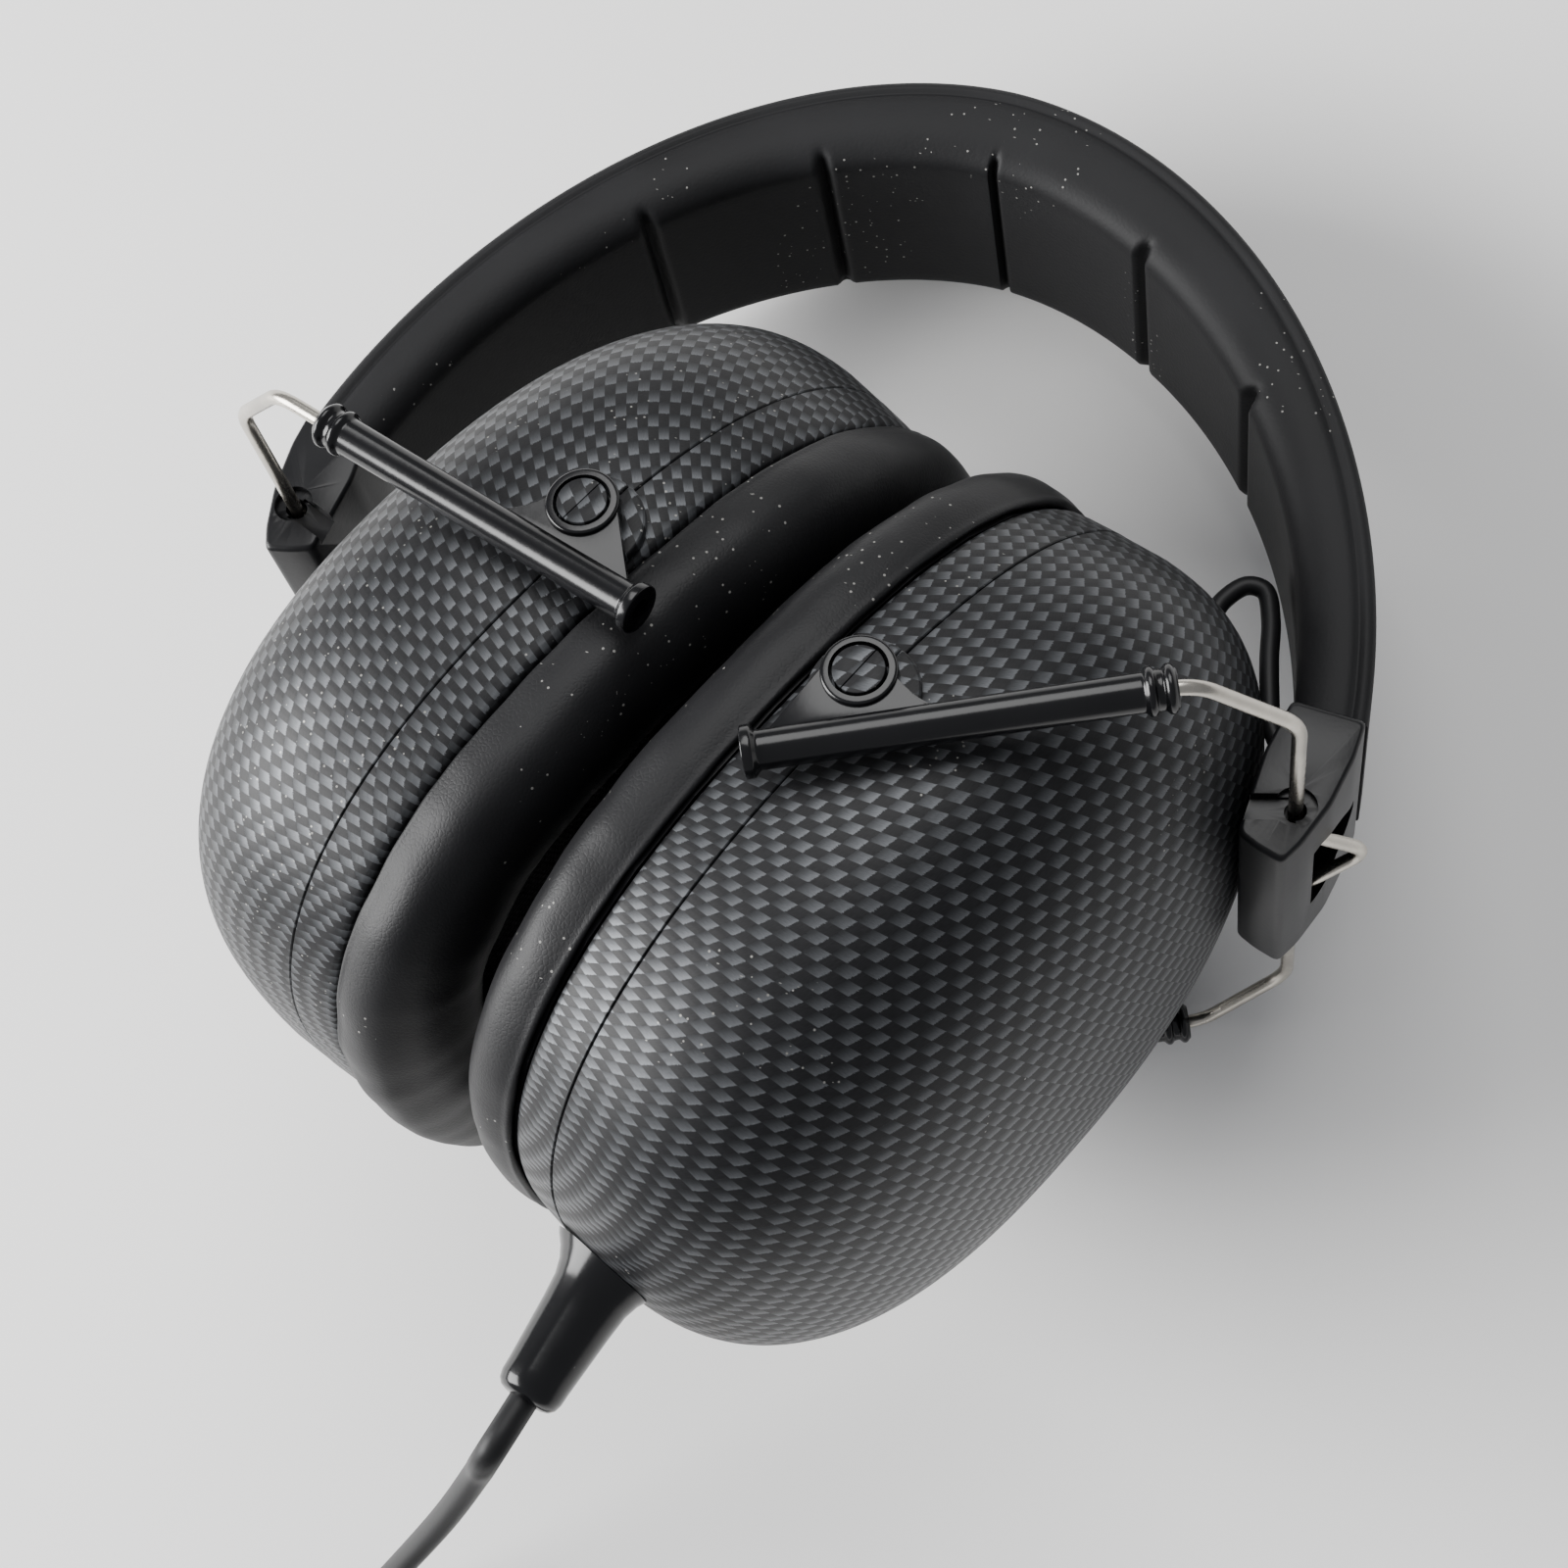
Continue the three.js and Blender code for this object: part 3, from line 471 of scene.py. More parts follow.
def from_faces(name, points, faces, film=None):
    """A mesh object from points and faces, with its faces turned outwards."""
    mesh = bpy.data.meshes.new(name)
    mesh.from_pydata([tuple(p) for p in points], [], faces)
    if film:
        layer = mesh.uv_layers.new(name="film")
        for loop in mesh.loops:
            layer.data[loop.index].uv = film[loop.vertex_index]
    shape = bmesh.new()
    shape.from_mesh(mesh)
    bmesh.ops.remove_doubles(shape, verts=shape.verts, dist=1e-5)
    bmesh.ops.recalc_face_normals(shape, faces=shape.faces)
    shape.to_mesh(mesh)
    shape.free()
    return new_object(name, mesh)


def lofted(name, rings, looped=False, film=None):
    """Joins rings of equal point count; the ends are closed with a fan."""
    count = len(rings[0])
    points = [p for ring in rings for p in ring]
    faces = []
    for i in range(len(rings) if looped else len(rings) - 1):
        first = i * count
        second = ((i + 1) % len(rings)) * count
        for k in range(count):
            n = (k + 1) % count
            faces.append((first + k, first + n, second + n, second + k))
    if not looped:
        for ring, start in ((rings[0], 0), (rings[-1], (len(rings) - 1) * count)):
            middle = sum((Vector(p) for p in ring), Vector()) / count
            points.append(middle)
            if film:
                film = [*film, film[start]]
            hub = len(points) - 1
            faces += [(hub, start + k, start + (k + 1) % count) for k in range(count)]
    return from_faces(name, points, faces, film)


def turned(name, profile, sides=48):
    """A body turned about X from (X, radius) pairs, closed on the axis."""
    rings = [
        [(along, radius * math.cos(2 * math.pi * k / sides), radius * math.sin(2 * math.pi * k / sides))
         for k in range(sides)]
        for along, radius in profile if radius > 0
    ]
    return lofted(name, rings)


def softened(profile, reach, steps=3):
    """Rounds the inner corners of an open profile of pairs or triples."""
    points = [Vector(p) for p in profile]
    result = [points[0]]
    for before, here, after in zip(points, points[1:], points[2:]):
        start = here + (before - here).normalized() * min(reach, (before - here).length * 0.45)
        end = here + (after - here).normalized() * min(reach, (after - here).length * 0.45)
        for k in range(steps + 1):
            t = k / steps
            result.append(start * (1 - t) ** 2 + here * (2 * t * (1 - t)) + end * t ** 2)
    return [*result, points[-1]]


def rounded_outline(outline, reach, steps=4):
    """Rounds every corner of a closed outline."""
    count = len(outline)
    result = []
    for i in range(count):
        trio = [outline[i - 1], outline[i], outline[(i + 1) % count]]
        result += softened(trio, reach, steps)[1:-1]
    return result


def extruded(name, outline, low, high):
    rings = [[(p[0], p[1], z) for p in outline] for z in (low, high)]
    return lofted(name, rings)


def settle(piece):
    """Applies the piece's modifiers."""
    graph = bpy.context.evaluated_depsgraph_get()
    mesh = bpy.data.meshes.new_from_object(piece.evaluated_get(graph))
    piece.modifiers.clear()
    piece.data = mesh
    return piece


def combine(piece, tool, operation):
    """Joins or cuts with another closed mesh, which is used up."""
    modifier = piece.modifiers.new("combine", "BOOLEAN")
    modifier.operation = operation
    modifier.solver = "MANIFOLD"
    modifier.object = tool
    settle(piece)
    bpy.data.objects.remove(tool)
    return piece


def bevel(piece, width, segments=3, angle=35):
    modifier = piece.modifiers.new("bevel", "BEVEL")
    modifier.width = width
    modifier.segments = segments
    modifier.limit_method = "ANGLE"
    modifier.angle_limit = math.radians(angle)
    return settle(piece)


def swept(name, line, radius, sides=16):
    """A round bar along a line of points, with its frame carried along."""
    line = [Vector(p) for p in line]
    rings = []
    aside = None
    for i, here in enumerate(line):
        ahead = line[min(i + 1, len(line) - 1)] - line[max(i - 1, 0)]
        ahead.normalize()
        if aside is None:
            aside = ahead.orthogonal().normalized()
        aside = (aside - ahead * aside.dot(ahead)).normalized()
        other = ahead.cross(aside)
        rings.append([
            here + radius * (math.cos(a) * aside + math.sin(a) * other)
            for a in (2 * math.pi * k / sides for k in range(sides))
        ])
    return lofted(name, rings)


def smooth_line(points, steps):
    """Centripetal Catmull-Rom curve through the points."""
    points = [Vector(p) for p in points]
    ends = [2 * points[0] - points[1], *points, 2 * points[-1] - points[-2]]
    line = [points[0]]
    for p0, p1, p2, p3 in zip(ends, ends[1:], ends[2:], ends[3:]):
        t0 = 0.0
        t1 = t0 + math.sqrt((p1 - p0).length)
        t2 = t1 + math.sqrt((p2 - p1).length)
        t3 = t2 + math.sqrt((p3 - p2).length)
        for k in range(1, steps + 1):
            t = t1 + (t2 - t1) * k / steps
            a1 = p0.lerp(p1, (t - t0) / (t1 - t0))
            a2 = p1.lerp(p2, (t - t1) / (t2 - t1))
            a3 = p2.lerp(p3, (t - t2) / (t3 - t2))
            b1 = a1.lerp(a2, (t - t0) / (t2 - t0))
            b2 = a2.lerp(a3, (t - t1) / (t3 - t1))
            line.append(b1.lerp(b2, (t - t1) / (t2 - t1)))
    return line


def dressed(piece, slot, sharp=40):
    """Smooth shading with crisp edges, the finish, and its material slot."""
    for face in piece.data.polygons:
        face.use_smooth = True
    piece.data.set_sharp_from_angle(angle=math.radians(sharp))
    piece.data.materials.clear()
    piece.data.materials.append(finishes[slot])
    return piece


def stand(piece, where, slot, body=None, nodes=(), sharp=40):
    """Brings a finished piece from its local frame into the row frame."""
    piece.data.transform(where)
    if where.determinant() < 0:
        piece.data.flip_normals()
    dressed(piece, slot, sharp)
    if body:
        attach(piece, body)
    if nodes:
        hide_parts(*nodes)
    return piece


# ------------------------------------------------------------------- the cable
def coil_line():
    """The coil's turns, from where the lead arrives to where the tail leaves."""
    cells = [
        (0, 1), (0, 2), (1, 2), (1, 1), (2, 1), (2, 2),
        (3, 2), (3, 1), (3, 0), (2, 0), (1, 0), (0, 0),
    ]
    straight = {8, 10, 11}       # shifts that carry on in the same direction
    shifts = []
    turn = 470.0
    for k in range(1, len(cells)):
        shifts.append(turn)
        corner = k + 1 < len(cells) and k + 1 not in straight
        turn += 360 - (81.14 if corner else 0)
    shift_width = 75.0
    last = 180.0 + 72
    while last < shifts[-1] + shift_width:
        last += 360
    line = []
    steps = int((last - 180) / 6)
    for i in range(steps + 1):
        degrees = 180 + (last - 180) * i / steps
        radius, height = COIL_COLUMNS[0], COIL_LAYERS[1]
        for k, begin in enumerate(shifts):
            share = min(max((degrees - begin) / shift_width, 0), 1)
            share = share * share * (3 - 2 * share)
            before, after = cells[k], cells[k + 1]
            radius += share * (COIL_COLUMNS[after[0]] - COIL_COLUMNS[before[0]])
            height += share * (COIL_LAYERS[after[1]] - COIL_LAYERS[before[1]])
        angle = math.radians(degrees)
        line.append(Vector((
            COIL_CENTRE[0] + radius * math.cos(angle),
            COIL_CENTRE[1] + radius * math.sin(angle),
            height,
        )))
    return line


def cable_route():
    """Lead, coil and tail as one line, in metres."""
    root = cup_place["right"] @ Vector(BOOT_ROOT)
    reach = BOOT_LENGTH + GAP
    end = cup_place["right"] @ (
        Vector(BOOT_ROOT) + reach * Vector((math.sin(BOOT_LEAN), -math.cos(BOOT_LEAN), 0))
    )
    heading = (end - root).normalized()
    coil = coil_line()
    lead = [
        end / MM,
        end / MM + 7 * heading,
        (-1.6, -100.5, 72),
        (-10.5, -113.5, 52),
        (-21.5, -129, 31),
        (-32, -144, 13.5),
        (-40, -156, 4.2),
        (-44.6, -164, 2.2),
        (-47.2, -170.5, 2.9),
        (-48.3, -178, 4.9),
        coil[0],
    ]
    tail = [
        coil[-1],
        (-22.6, -216.0, 1.85),
        (-14.5, -217.9, 1.85),
        (-8, -215.6, 1.85),
        (3, -209.5, 2.15),
        (10.5, -199.5, 3.25),
        (13, -191.3, 4.2),
        (13, -187.3, 4.2),
    ]
    line = smooth_line(lead, 8) + coil[1:] + smooth_line(tail, 6)[1:]
    return end, [p * MM for p in line]


def add_cable():
    """The free cable with its plug."""
    leaves, line = cable_route()
    data = bpy.data.curves.new("cable", "CURVE")
    data.dimensions = "3D"
    spline = data.splines.new("POLY")
    spline.points.add(len(line) - 1)
    for point, where in zip(spline.points, line):
        point.co = (*where, 1)
    data.bevel_depth = CORD_RADIUS * MM
    data.bevel_resolution = 4
    data.use_fill_caps = True
    cable = new_object("cable", data)
    data.materials.append(finishes["cord_rubber"])
    for part in data.splines:
        part.use_smooth = True
    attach(cable, "right_cup")
    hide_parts("cord_lead", "cord_coil", "cord_tail")
    plug = add_plug()
    add_tie()


INSULATOR_WIDTH = 0.7
INSULATOR_RADIUS = 1.79


def add_plug():
    """Moulded grip with ribs, and turned contacts with insulating rings."""
    where = (
        Matrix.Translation(Vector(PLUG_REAR) * MM)
        @ Matrix.Rotation(math.pi / 2, 4, "Z")
        @ Matrix.Scale(MM, 4)
    )
    profile = [(0, 0.01), (0, 2.5), (0.4, 2.75), (7, 3.1), (8, PLUG_RADIUS - 0.4), (9, PLUG_RADIUS)]
    for rib in range(6):
        start = 11 + 1.6 * rib
        profile += [
            (start, PLUG_RADIUS), (start + 0.25, PLUG_RADIUS - 0.35),
            (start + 0.75, PLUG_RADIUS - 0.35), (start + 1, PLUG_RADIUS),
        ]
    profile += [(PLUG_LENGTH - 1, PLUG_RADIUS), (PLUG_LENGTH, PLUG_RADIUS - 0.8), (PLUG_LENGTH, 0.01)]
    grip = stand(turned("plug_grip", profile), where, "satin_black", "right_cup", ["plug_body"], 30)
    start = PLUG_LENGTH + GAP
    contacts = [
        (start, 0.01), (start, 2.8), (start + 0.2, 2.9), (start + 0.8, 2.9), (start + 1, 2.8),
        (start + 1, 1.75), (start + 11, 1.75), (start + 11.8, 1.1), (start + 12.2, 1.25),
        (start + 12.8, 1.7), (start + 13.4, 1.5), (start + 14.6, 0.6), (start + 15, 0.01),
    ]
    pin = turned("plug_pin", contacts)
    pin = stand(pin, where, "gold_plate", "right_cup", ["plug_contacts"], 30)
    rings = []
    for k, along in enumerate((3.6, 7.4)):
        near = start + along
        far = near + INSULATOR_WIDTH
        outline = [(near, 0.01), (near, INSULATOR_RADIUS), (far, INSULATOR_RADIUS), (far, 0.01)]
        band = turned(f"plug_insulator_{k + 1}", outline)
        rings.append(stand(band, where, "satin_black", "right_cup", (), 30))
    return [grip, pin, *rings]


def add_tie():
    """A soft strap that holds the coil's turns together."""
    middle = (COIL_COLUMNS[0] + COIL_COLUMNS[-1]) / 2
    half = (COIL_COLUMNS[0] - COIL_COLUMNS[-1]) / 2 + CORD_RADIUS
    top = COIL_LAYERS[-1] + CORD_RADIUS
    wide = half + 0.7
    high = top + 0.7
    outline = rounded_outline(
        [Vector((-wide, 0.05)), Vector((wide, 0.05)), Vector((wide, high)), Vector((-wide, high))],
        2.4, 6,
    )
    inner = rounded_outline(
        [Vector((-half, 0.55)), Vector((half, 0.55)), Vector((half, top)), Vector((-half, top))],
        1.9, 6,
    )
    rings = []
    for outlines, across in ((outline, -4), (outline, 4), (inner, 4), (inner, -4)):
        rings.append([(p[0] + middle, across, p[1]) for p in outlines])
    strap = lofted("cable_tie", rings, looped=True)
    bevel(strap, 0.15, 2)
    where = (
        Matrix.Translation(Vector((COIL_CENTRE[0], COIL_CENTRE[1], 0)) * MM)
        @ Matrix.Rotation(math.radians(60), 4, "Z")
        @ Matrix.Scale(MM, 4)
    )
    return stand(strap, where, "band_skin", "right_cup")


# ---------------------------------------------------------------- the headband
def arch_face(turn):
    power = 2 / BAND_EXPONENT
    x = math.copysign(abs(math.cos(turn)) ** power, math.cos(turn)) * BAND_HALF_SPAN
    y = math.copysign(abs(math.sin(turn)) ** power, math.sin(turn)) * BAND_RISE
    slope = BAND_EXPONENT - 1
    normal = Vector((
        math.copysign(abs(x / BAND_HALF_SPAN) ** slope / BAND_HALF_SPAN, x),
        math.copysign(abs(y / BAND_RISE) ** slope / BAND_RISE, y),
        0,
    ))
    return Vector((x, y, 0)), normal.normalized()


def band_outline(half, deep):
    """Half-round section with a thin lip round the outer face."""
    lip = [(half - 2.0, 0.0), (half - 1.4, 0.12), (half - 1.05, 0.5), (half - 0.9, 1.0)]
    lip += [(half - 0.9, 1.5), (half - 1.25, 1.85), (half - 1.3, 2.2), (half - 1.0, 2.6)]
    shoulder = []
    for k in range(1, 15):
        turn = math.pi / 2 * k / 14
        rise = math.sin(turn)
        bulge = 0.35 * math.sin(2 * turn)
        shoulder.append((half - 1.0 + bulge - 3.9 * (1 - math.cos(turn)), 2.6 + (deep - 2.6) * rise))
    side_points = lip + shoulder
    outer = [((half - 2.0) * (k / 7 - 1), 0.0) for k in range(1, 14)]
    flat = half - 4.9
    inner = [(flat * (1 - k / 9), deep) for k in range(1, 18)]
    return outer + side_points + inner + [(-a, d) for a, d in reversed(side_points)]


def add_headband():
    """The padded band, with grooves across its inner face and a slot for its spring."""
    start = math.asin((BAND_END / BAND_RISE) ** (BAND_EXPONENT / 2)) - 0.03
    steps = 420
    rings = []
    slot_rings = []
    for i in range(steps + 1):
        turn = start + (math.pi - 2 * start) * i / steps
        crown = math.sin(turn) ** 2
        half = (BAND_WIDTH[0] + (BAND_WIDTH[1] - BAND_WIDTH[0]) * crown) / 2
        deep = BAND_THICKNESS[0] + (BAND_THICKNESS[1] - BAND_THICKNESS[0]) * crown
        face, normal = arch_face(turn)
        away = min(abs(turn - math.radians(g)) for g in GROOVE_TURNS) * 80
        cutting = max(0.0, 1 - (away / GROOVE_WIDTH) ** 2) ** 2
        ring = []
        for across, depth in band_outline(half, deep):
            inner = max(0.0, (depth - deep * 0.45) / (deep * 0.55))
            edge = min(1.0, max(0.0, (half - 1.6 - abs(across)) / 1.8))
            depth -= inner * cutting * GROOVE_DEPTH * edge
            ring.append(face - normal * depth + Vector((0, 0, across)))
        rings.append(ring)
        if i % 6 == 0:
            corners = (
                (-SLOT_HALF, SLOT_TOP), (SLOT_HALF, SLOT_TOP),
                (SLOT_HALF, SLOT_FLOOR), (-SLOT_HALF, SLOT_FLOOR),
            )
            slot_rings.append(
                [face - normal * depth + Vector((0, 0, across)) for across, depth in corners]
            )
    pad = lofted("headband_pad_skin", rings)
    combine(pad, lofted("slot", slot_rings), "DIFFERENCE")
    ends = from_box("ends", (-150, BAND_END - 30, -40), (150, BAND_END, 40))
    combine(pad, ends, "DIFFERENCE")
    stand(pad, arch_place, "band_skin", "headband", ["headband_pad"], 50)


def from_box(name, low, high):
    outline = [(low[0], low[1]), (high[0], low[1]), (high[0], high[1]), (low[0], high[1])]
    return extruded(name, outline, low[2], high[2])


# --------------------------------------------------------- end blocks and wires
def add_end_block(side):
    outline = [
        (-5.4, -5.3), (-2.8, -6.4), (0.7, -7.3), (2.2, -4.2), (3.9, 1.7),
        (4.6, 8.4), (4.4, BAND_END - GAP), (-4.8, BAND_END - GAP), (-5.8, 6),
    ]
    outline = rounded_outline([Vector(p) for p in outline], 0.9, 4)
    block = extruded(side + "_hinge_block", outline, -BLOCK_HALF_WIDTH, BLOCK_HALF_WIDTH)
    bevel(block, 0.7, 3, 50)
    clear = WIRE_RADIUS + 0.5
    section = [
        (0.05, CRANK_HALF_HEIGHT + 2), (CRANK_REACH, clear + 0.4), (CRANK_REACH + clear, 1),
        (CRANK_REACH + clear, -1), (CRANK_REACH, -clear - 0.4), (0.05, -CRANK_HALF_HEIGHT - 2),
    ]
    rings = []
    for k in range(25):
        turn = math.radians(CRANK_SWEEP[0] + (CRANK_SWEEP[1] - CRANK_SWEEP[0]) * k / 24)
        rings.append([(r * math.cos(turn), r * math.sin(turn), z) for r, z in section])
    combine(block, lofted("window", rings), "DIFFERENCE")
    upright = Matrix.Rotation(math.pi / 2, 4, "Y")
    bore = turned("bore", [(-30, WIRE_RADIUS + 0.45), (30, WIRE_RADIUS + 0.45)], 32)
    bore.data.transform(upright)
    combine(block, bore, "DIFFERENCE")
    for end in (-1, 1):
        recess = turned("recess", [(-1.1, WIRE_RADIUS + 1.5), (1.1, WIRE_RADIUS + 1.9)], 32)
        recess.data.transform(Matrix.Translation((0, 0, end * BLOCK_HALF_WIDTH)) @ upright)
        combine(block, recess, "DIFFERENCE")
        channel = from_box("channel", (-9, -CHANNEL_HALF, -1.7), (0, CHANNEL_HALF, 1.7))
        lean = Matrix.Rotation(math.radians(18), 4, "Z")
        channel.data.transform(Matrix.Translation((0, 0, end * BLOCK_HALF_WIDTH)) @ lean)
        combine(block, channel, "DIFFERENCE")
    bevel(block, 0.18, 2, 50)
    stand(block, block_place[side], "satin_black", "headband", [side + "_end_block"])


def add_wire(side):
    leg = -(SPLAY + TUBE_LENGTH + WIRE_EXPOSED[side] - 5)
    half = [
        (leg, 0, ARM_HEIGHT), (-SPLAY, 0, ARM_HEIGHT),
        (0, 0, WIRE_CORNER), (0, 0, CRANK_HALF_HEIGHT),
    ]
    corners = [*half, (CRANK_REACH, 0, 0), *[(x, y, -z) for x, y, z in reversed(half)]]
    line = softened(corners, 3.0, 8)
    wire_bar = swept(side + "_yoke_wire", line, WIRE_RADIUS, 20)
    stand(wire_bar, yoke_place[side], "plated_wire", side + "_yoke", [side + "_wire_yoke"])


# ------------------------------------------------------------------------ arms
def add_arms(side):
    flange = -BOSS_BACK
    mouth = TUBE_LENGTH - BOSS_BACK
    outside = [(flange, 0.01), (flange, 3), (flange + 1.1, 3), (flange + 1.7, TUBE_RADIUS)]
    for rib in (mouth - 3.4, mouth - 1.3):
        outside += [(rib - 0.3, TUBE_RADIUS), (rib, 2.6), (rib + 0.25, 2.8), (rib + 0.65, 2.8)]
        outside += [(rib + 0.9, 2.6), (rib + 1.1, TUBE_RADIUS + 0.1)]
    outside += [(mouth, TUBE_RADIUS), (mouth, 0.01)]
    for end, name, node in ((1, "_arm_top", "_upper_arm"), (-1, "_arm_under", "_lower_arm")):
        tube = turned(side + name, softened(outside, 0.22, 3), 40)
        tube.data.transform(Matrix.Translation((0, -BOSS_OFFSET, 0)))
        low = BOSS_INNER - ARM_HEIGHT
        high = BOSS_OUTER - ARM_HEIGHT
        ring_profile = [(low, 0.01), (low, BOSS_RADIUS), (high, BOSS_RADIUS), (high, 0.01)]
        ring = turned("ring", softened(ring_profile, 0.45, 4), 56)
        ring.data.transform(Matrix.Rotation(-math.pi / 2, 4, "Y"))
        inner_arc = [
            Vector((3.9 + 5.6 * t, -1.4 - 4.4 * (1 - (1 - t) ** 2.2))) for t in (k / 8 for k in range(9))
        ]
        web_outline = [
            Vector((flange + 1.2, -BOSS_OFFSET)), Vector((-4.1, 1.2)),
            *inner_arc, Vector((9.5, -BOSS_OFFSET)),
        ]
        web = extruded("web", web_outline, -1.2, 0.9)
        bevel(web, 0.25, 2)
        combine(tube, web, "UNION")
        combine(tube, ring, "UNION")
        bore = turned("bore", [(flange - 1, TUBE_BORE), (mouth + 1, TUBE_BORE)], 32)
        bore.data.transform(Matrix.Translation((0, -BOSS_OFFSET, 0)))
        combine(tube, bore, "DIFFERENCE")
        hole = turned("hole", [(-6, BOSS_HOLE), (6, BOSS_HOLE)], 56)
        hole.data.transform(Matrix.Rotation(-math.pi / 2, 4, "Y"))
        combine(tube, hole, "DIFFERENCE")
        mirror = Matrix.Diagonal((1, 1, end, 1))
        tube.data.transform(Matrix.Translation((0, 0, end * ARM_HEIGHT)) @ mirror)
        if end < 0:
            tube.data.flip_normals()
        stand(tube, arm_place[side], "gloss_black", side + "_arms", [side + node], 34)


# ------------------------------------------------------------------------ cups
OVAL_POINTS = 144


def oval(x, half_height, half_depth, centre=CUP_CENTRE):
    power = 2 / OVAL_EXPONENT
    ring = []
    for k in range(OVAL_POINTS):
        turn = 2 * math.pi * k / OVAL_POINTS
        c, s = math.cos(turn), math.sin(turn)
        ring.append(Vector((
            x,
            centre + half_height * math.copysign(abs(c) ** power, c),
            half_depth * math.copysign(abs(s) ** power, s),
        )))
    return ring


def inset_oval(x, inset):
    return oval(x, CUP_HALF_HEIGHT - inset, CUP_HALF_DEPTH - inset)


def dome_rings(start, inset, steps):
    """The dome from the parting line to its top, widest at CUP_WIDEST."""
    rings = [inset_oval(start, inset + CUP_DRAFT + SEAM), inset_oval(start + SEAM, inset + CUP_DRAFT)]
    power = 2 / CUP_ROUNDNESS
    for i in range(steps + 1):
        turn = math.pi / 2 * (i / steps)
        size = max(math.cos(turn), 0.0) ** power
        along = CUP_WIDEST + (CUP_RISE - inset - CUP_WIDEST) * math.sin(turn) ** power
        size = max(size, 0.004)
        rings.append(oval(
            along, (CUP_HALF_HEIGHT - inset) * size, (CUP_HALF_DEPTH - inset) * size,
            CUP_CENTRE - CUP_SAG * (1 - size),
        ))
    return rings


def film_cells(side, y, z):
    """Where a point of the flat film lies in the weave, counted in cells."""
    (long, long_turn), (short, short_turn) = WEAVE[side]
    a = (long * math.cos(long_turn), long * math.sin(long_turn))
    b = (short * math.cos(short_turn), short * math.sin(short_turn))
    area = a[0] * b[1] - a[1] * b[0]
    return (y * b[1] - z * b[0]) / area, (z * a[0] - y * a[1]) / area


def film_map(dome):
    """The film's place of each dome point: as far from the top as the surface runs."""
    places = [[None] * OVAL_POINTS for _ in dome]
    rim = []
    for k in range(OVAL_POINTS):
        walked = 0.0
        angle = math.atan2(dome[0][k].z, dome[0][k].y - CUP_CENTRE + CUP_SAG)
        for i in range(len(dome) - 1, -1, -1):
            here = dome[i][k]
            if i < len(dome) - 1:
                walked += (here - dome[i + 1][k]).length
            places[i][k] = (walked, angle)
        rim.append((walked, places[0][k][1]))
    return places, rim


HALF_PIN = {"name": "pin", "radius": PIN_RADIUS, "top": BOSS_OUTER, "steps": 16, "edge": (0.12, 2)}
SWIVEL_PAD = {"name": "swivel_pad", "radius": 6.4, "top": 47.9, "steps": 24, "edge": (0.35, 3)}


def half_boss(side, out, up, rim_depth, name, radius, top, steps, edge):
    """Half of a round boss on one side of the parting line, with its print."""
    outline = []
    for k in range(steps + 1):
        turn = -math.pi / 2 + math.pi * k / steps
        outline.append((out * max(radius * math.cos(turn), PIN_SPLIT), radius * math.sin(turn)))
    root = CUP_HALF_DEPTH - WALL / 2
    low, high = (root, top) if up > 0 else (-top, -root)
    boss = extruded(name, outline, low, high)
    bevel(boss, *edge, 60)
    layer = boss.data.uv_layers.new(name="film")
    for loop in boss.data.loops:
        p = boss.data.vertices[loop.vertex_index].co
        layer.data[loop.index].uv = film_cells(side, p.y, up * (rim_depth - p.x))
    return boss


def add_shells(side):
    """The printed dome and rim of one cup."""
    outside = dome_rings(SEAM / 2, 0, 46)
    inside = dome_rings(SEAM / 2, WALL, 20)
    places, rim = film_map(outside)
    film = []
    for ring in reversed(places):
        film += [film_cells(side, s * math.cos(a), s * math.sin(a)) for s, a in ring]
    film += [(0.25, 0.25)] * (len(inside) * OVAL_POINTS)
    shell = lofted(side + "_cup_dome", [*reversed(outside), *inside], film=film)
    rim_depth = rim[OVAL_POINTS // 4][0]
    for up in (1, -1):
        for boss in (SWIVEL_PAD, HALF_PIN):
            combine(shell, half_boss(side, 1, up, rim_depth, **boss), "UNION")
    stand(shell, cup_place[side], "carbon_shell", side + "_cup", [side + "_outer_shell"])

    front = -REAR_DEPTH
    outline = [
        (-SEAM / 2, CUP_DRAFT + SEAM), (-SEAM * 1.5, CUP_DRAFT), (front + 2.4, 1.0), (front + 1.0, 1.25),
        (front + 0.35, 1.55), (front, 2.2), (front, REAR_OPENING), (front + 1.8, REAR_OPENING),
        (front + 1.8, WALL + 1.2), (-SEAM / 2, WALL + CUP_DRAFT),
    ]
    rings = [inset_oval(x, inset) for x, inset in outline]
    film = []
    for i, ring in enumerate(rings):
        past = -outline[min(i, 5)][0] if i < 6 else 8.0
        film += [
            film_cells(side, (s + past) * math.cos(a), (s + past) * math.sin(a)) for s, a in rim
        ]
    rear = lofted(side + "_cup_rim", rings, looped=True, film=film)
    for up in (1, -1):
        for boss in (SWIVEL_PAD, HALF_PIN):
            combine(rear, half_boss(side, -1, up, rim_depth, **boss), "UNION")
    stand(rear, cup_place[side], "carbon_shell", side + "_cup", [side + "_rear_shell"])


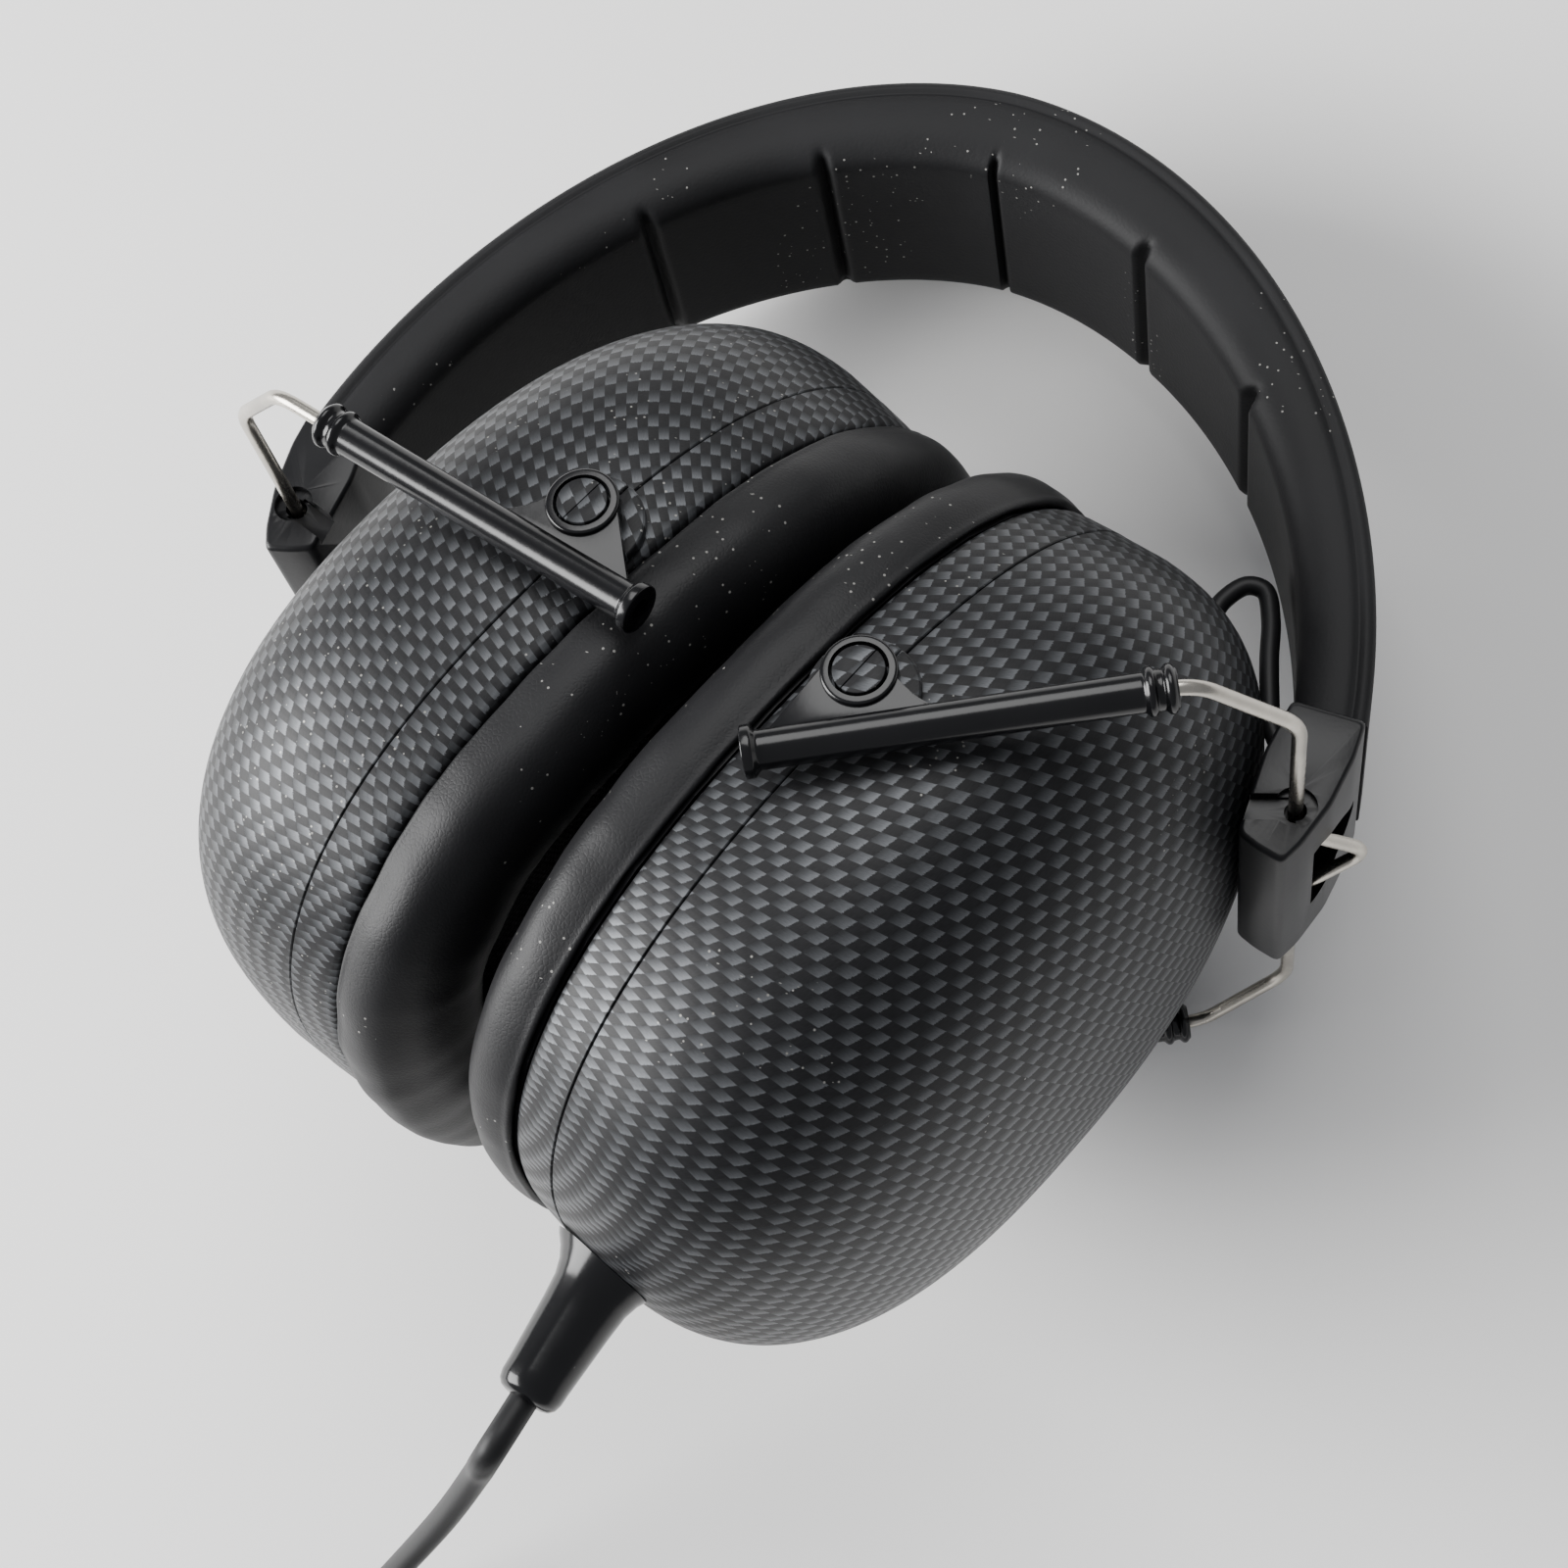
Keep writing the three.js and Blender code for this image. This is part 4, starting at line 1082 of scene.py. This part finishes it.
# -------------------------------------------------------------------- cushions
def cushion_rings():
    """A soft ring: rounded outer side, flat face, and a deep inner wall."""
    rim = -REAR_DEPTH - GAP
    back = rim - CUSHION_RING - GAP
    face = back - CUSHION_DEPTH
    outline = [
        (rim - 0.25, 1.9), (rim - 0.12, 1.4), (rim - 0.25, 0.95), (rim - 0.7, 0.75), (rim - 1.2, 0.78),
        (rim - 2.2, 0.5), (rim - 3.8, 0.3), (rim - 5.6, 0.4), (rim - 7.4, 1.1),
        (face + 2.2, 2.6), (face + 0.9, 4.8), (face + 0.2, 7.6), (face, 10.6), (face + 0.4, 13.4),
        (face + 1.6, 16), (face + 3.8, 18), (face + 6.4, CUSHION_WIDTH), (back - 0.3, CUSHION_WIDTH),
        (back, CUSHION_WIDTH - 0.4), (back, 10), (back, 2.6), (back + 0.1, 1.95),
    ]
    closed = [Vector(p) for p in outline]
    return [inset_oval(x, inset) for x, inset in closed]


def add_cushion(side):
    """Leatherette stretched over foam, with faint creases round its side."""
    cushion = lofted(side + "_cushion_cover", cushion_rings(), looped=True)
    modifier = cushion.modifiers.new("smooth", "SUBSURF")
    modifier.levels = 2
    modifier.render_levels = 2
    settle(cushion)
    seed = Vector((3.1 * SIDES[side], 0, 7.7))
    normals = [vertex.normal.copy() for vertex in cushion.data.vertices]
    for vertex, normal in zip(cushion.data.vertices, normals):
        p = vertex.co
        turn = math.atan2(p.z, p.y - CUP_CENTRE)
        crease = noise.noise(Vector((math.cos(turn) * 9, math.sin(turn) * 9, p.x * 0.16)) + seed)
        wide = noise.noise(Vector((p.x, p.y, p.z)) * 0.06 + seed)
        vertex.co = p + normal * (0.22 * crease + 0.25 * wide - 0.1)
    stand(cushion, cup_place[side], "leatherette", side + "_cup", [side + "_ear_cushion"], 60)


# ----------------------------------------------------------------- other pieces
def add_boot():
    """The glossy strain relief, flared onto the cup."""
    flare = [
        (-2.5, 8.2, 7.6), (-0.4, 7.9, 7.0), (0.7, 7.2, 6.5),
        (1.8, 6.3, 5.9), (3.2, 5.5, 5.3), (5.0, 4.95, 4.9),
        (8, 4.65, 4.65), (12, 4.4, 4.4), (16, 4.15, 4.15), (17.6, 4.1, 4.1), (18.5, 3.85, 3.85),
        (19.1, 3.3, 3.3), (19.35, 2.6, 2.6), (19.4, CORD_RADIUS + 0.04, CORD_RADIUS + 0.04),
        (18.4, CORD_RADIUS + 0.02, CORD_RADIUS + 0.02), (18.3, 0.2, 0.2),
    ]
    sides = 56
    turns = [2 * math.pi * k / sides for k in range(sides)]
    rings = [
        [(wide * math.cos(t), -along, deep * math.sin(t)) for t in turns]
        for along, wide, deep in flare
    ]
    boot = lofted("cable_boot", rings)
    boot.data.transform(Matrix.Translation(BOOT_ROOT) @ Matrix.Rotation(BOOT_LEAN, 4, "Z"))
    combine(boot, lofted("cup", dome_rings(-REAR_DEPTH, -0.12, 30)), "DIFFERENCE")
    stand(boot, cup_place["right"], "gloss_black", "right_cup", ["right_strain_relief"], 30)


def add_bridge_cable(side):
    """Cable from the cup to the headband, cut into three equal pieces."""
    heights = {"right": 0.0, "left": -20.0}
    routes = {
        "right": [
            (48, 31.5, 0), (50.2, 34.6, 0), (52.6, 34.6, 0), (54.6, 31, 0),
            (56.2, 25.5, 0), (57.9, 20.5, 0), (59.4, 16.6, 0), (61.4, 14, 0),
        ],
        "left": [
            (-6, 48, -24), (-14, 52, -25), (-26, 50, -23), (-38, 43, -20),
            (-48, 33, -16), (-55, 22, -11), (-58.5, 14, -7), (-61, 8.5, -5),
        ],
    }
    outlet = cup_place[side] @ Vector((*BRIDGE_OUTLET, heights[side]))
    line = smooth_line([outlet, *[arch_place @ Vector(p) for p in routes[side]]], 10)
    third = len(line) // 3
    parts = (
        ("cup_end", line[: third + 1], side + "_arms", side + "_cup"),
        ("middle", line[third: 2 * third + 1], side + "_yoke", side + "_arms"),
        ("band_end", line[2 * third:], "headband", side + "_yoke"),
    )
    for name, part, near_band, near_cup in parts:
        bar = swept(f"{side}_bridge_{name}", part, BRIDGE_RADIUS * MM, 16)
        dressed(bar, "cord_rubber")
        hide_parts(side + "_bridge_cable")
        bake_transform(bar)


def dress_frame():
    """Finishes for the CAD nodes that stay as they are."""
    slots = {part["node"]: part["material_slot"] for part in frame["record"]["subparts"]}
    for name, node in frame["nodes"].items():
        node.data.materials.clear()
        node.data.materials.append(finishes[slots[name]])


# ----------------------------------------------------------------------- stage
FLOOR_LEVEL = -0.0004  # metres, just under what rests on it


def add_stage():
    """Plain pale floor and soft studio light."""
    material, tree, shader = node_tree("pale_floor")
    colour = ramp(tree, noise_at(tree, 3, 4), (0.86, 0.853, 0.842), (0.9, 0.893, 0.882))
    wire(tree, colour, shader.inputs["Base Color"])
    shader.inputs["Roughness"].default_value = 0.8
    corners = [(x, y, FLOOR_LEVEL) for x, y in ((-4, -4), (4, -4), (4, 4), (-4, 4))]
    floor = from_faces("floor", corners, [(0, 1, 2, 3)])
    if floor.data.polygons[0].normal.z < 0:
        floor.data.flip_normals()
    floor.data.materials.append(material)

    world = bpy.data.worlds.new("studio")
    world.use_nodes = True
    world.node_tree.nodes["Background"].inputs["Color"].default_value = (0.93, 0.95, 1.0, 1)
    world.node_tree.nodes["Background"].inputs["Strength"].default_value = 0.36
    bpy.context.scene.world = world

    for name, where, size, power in (
        ("window", (-0.95, -0.3, 0.62), 0.8, 36),
        ("fill", (-0.1, 0.95, 1.1), 0.9, 13),
    ):
        light = bpy.data.lights.new(name, "AREA")
        light.size = size
        light.energy = power
        lamp = bpy.data.objects.new(name, light)
        lamp.location = where
        lamp.rotation_euler = (Vector((0, 0, 0.04)) - Vector(where)).to_track_quat("-Z", "Y").to_euler()
        bpy.context.scene.collection.objects.link(lamp)


# --------------------------------------------------------------------- assembly
add_camera()
finishes = make_materials()
dress_frame()
add_cable()
add_headband()
for side in SIDES:
    add_end_block(side)
    add_wire(side)
    add_arms(side)
    add_shells(side)
    add_cushion(side)
    add_bridge_cable(side)
add_boot()
add_stage()
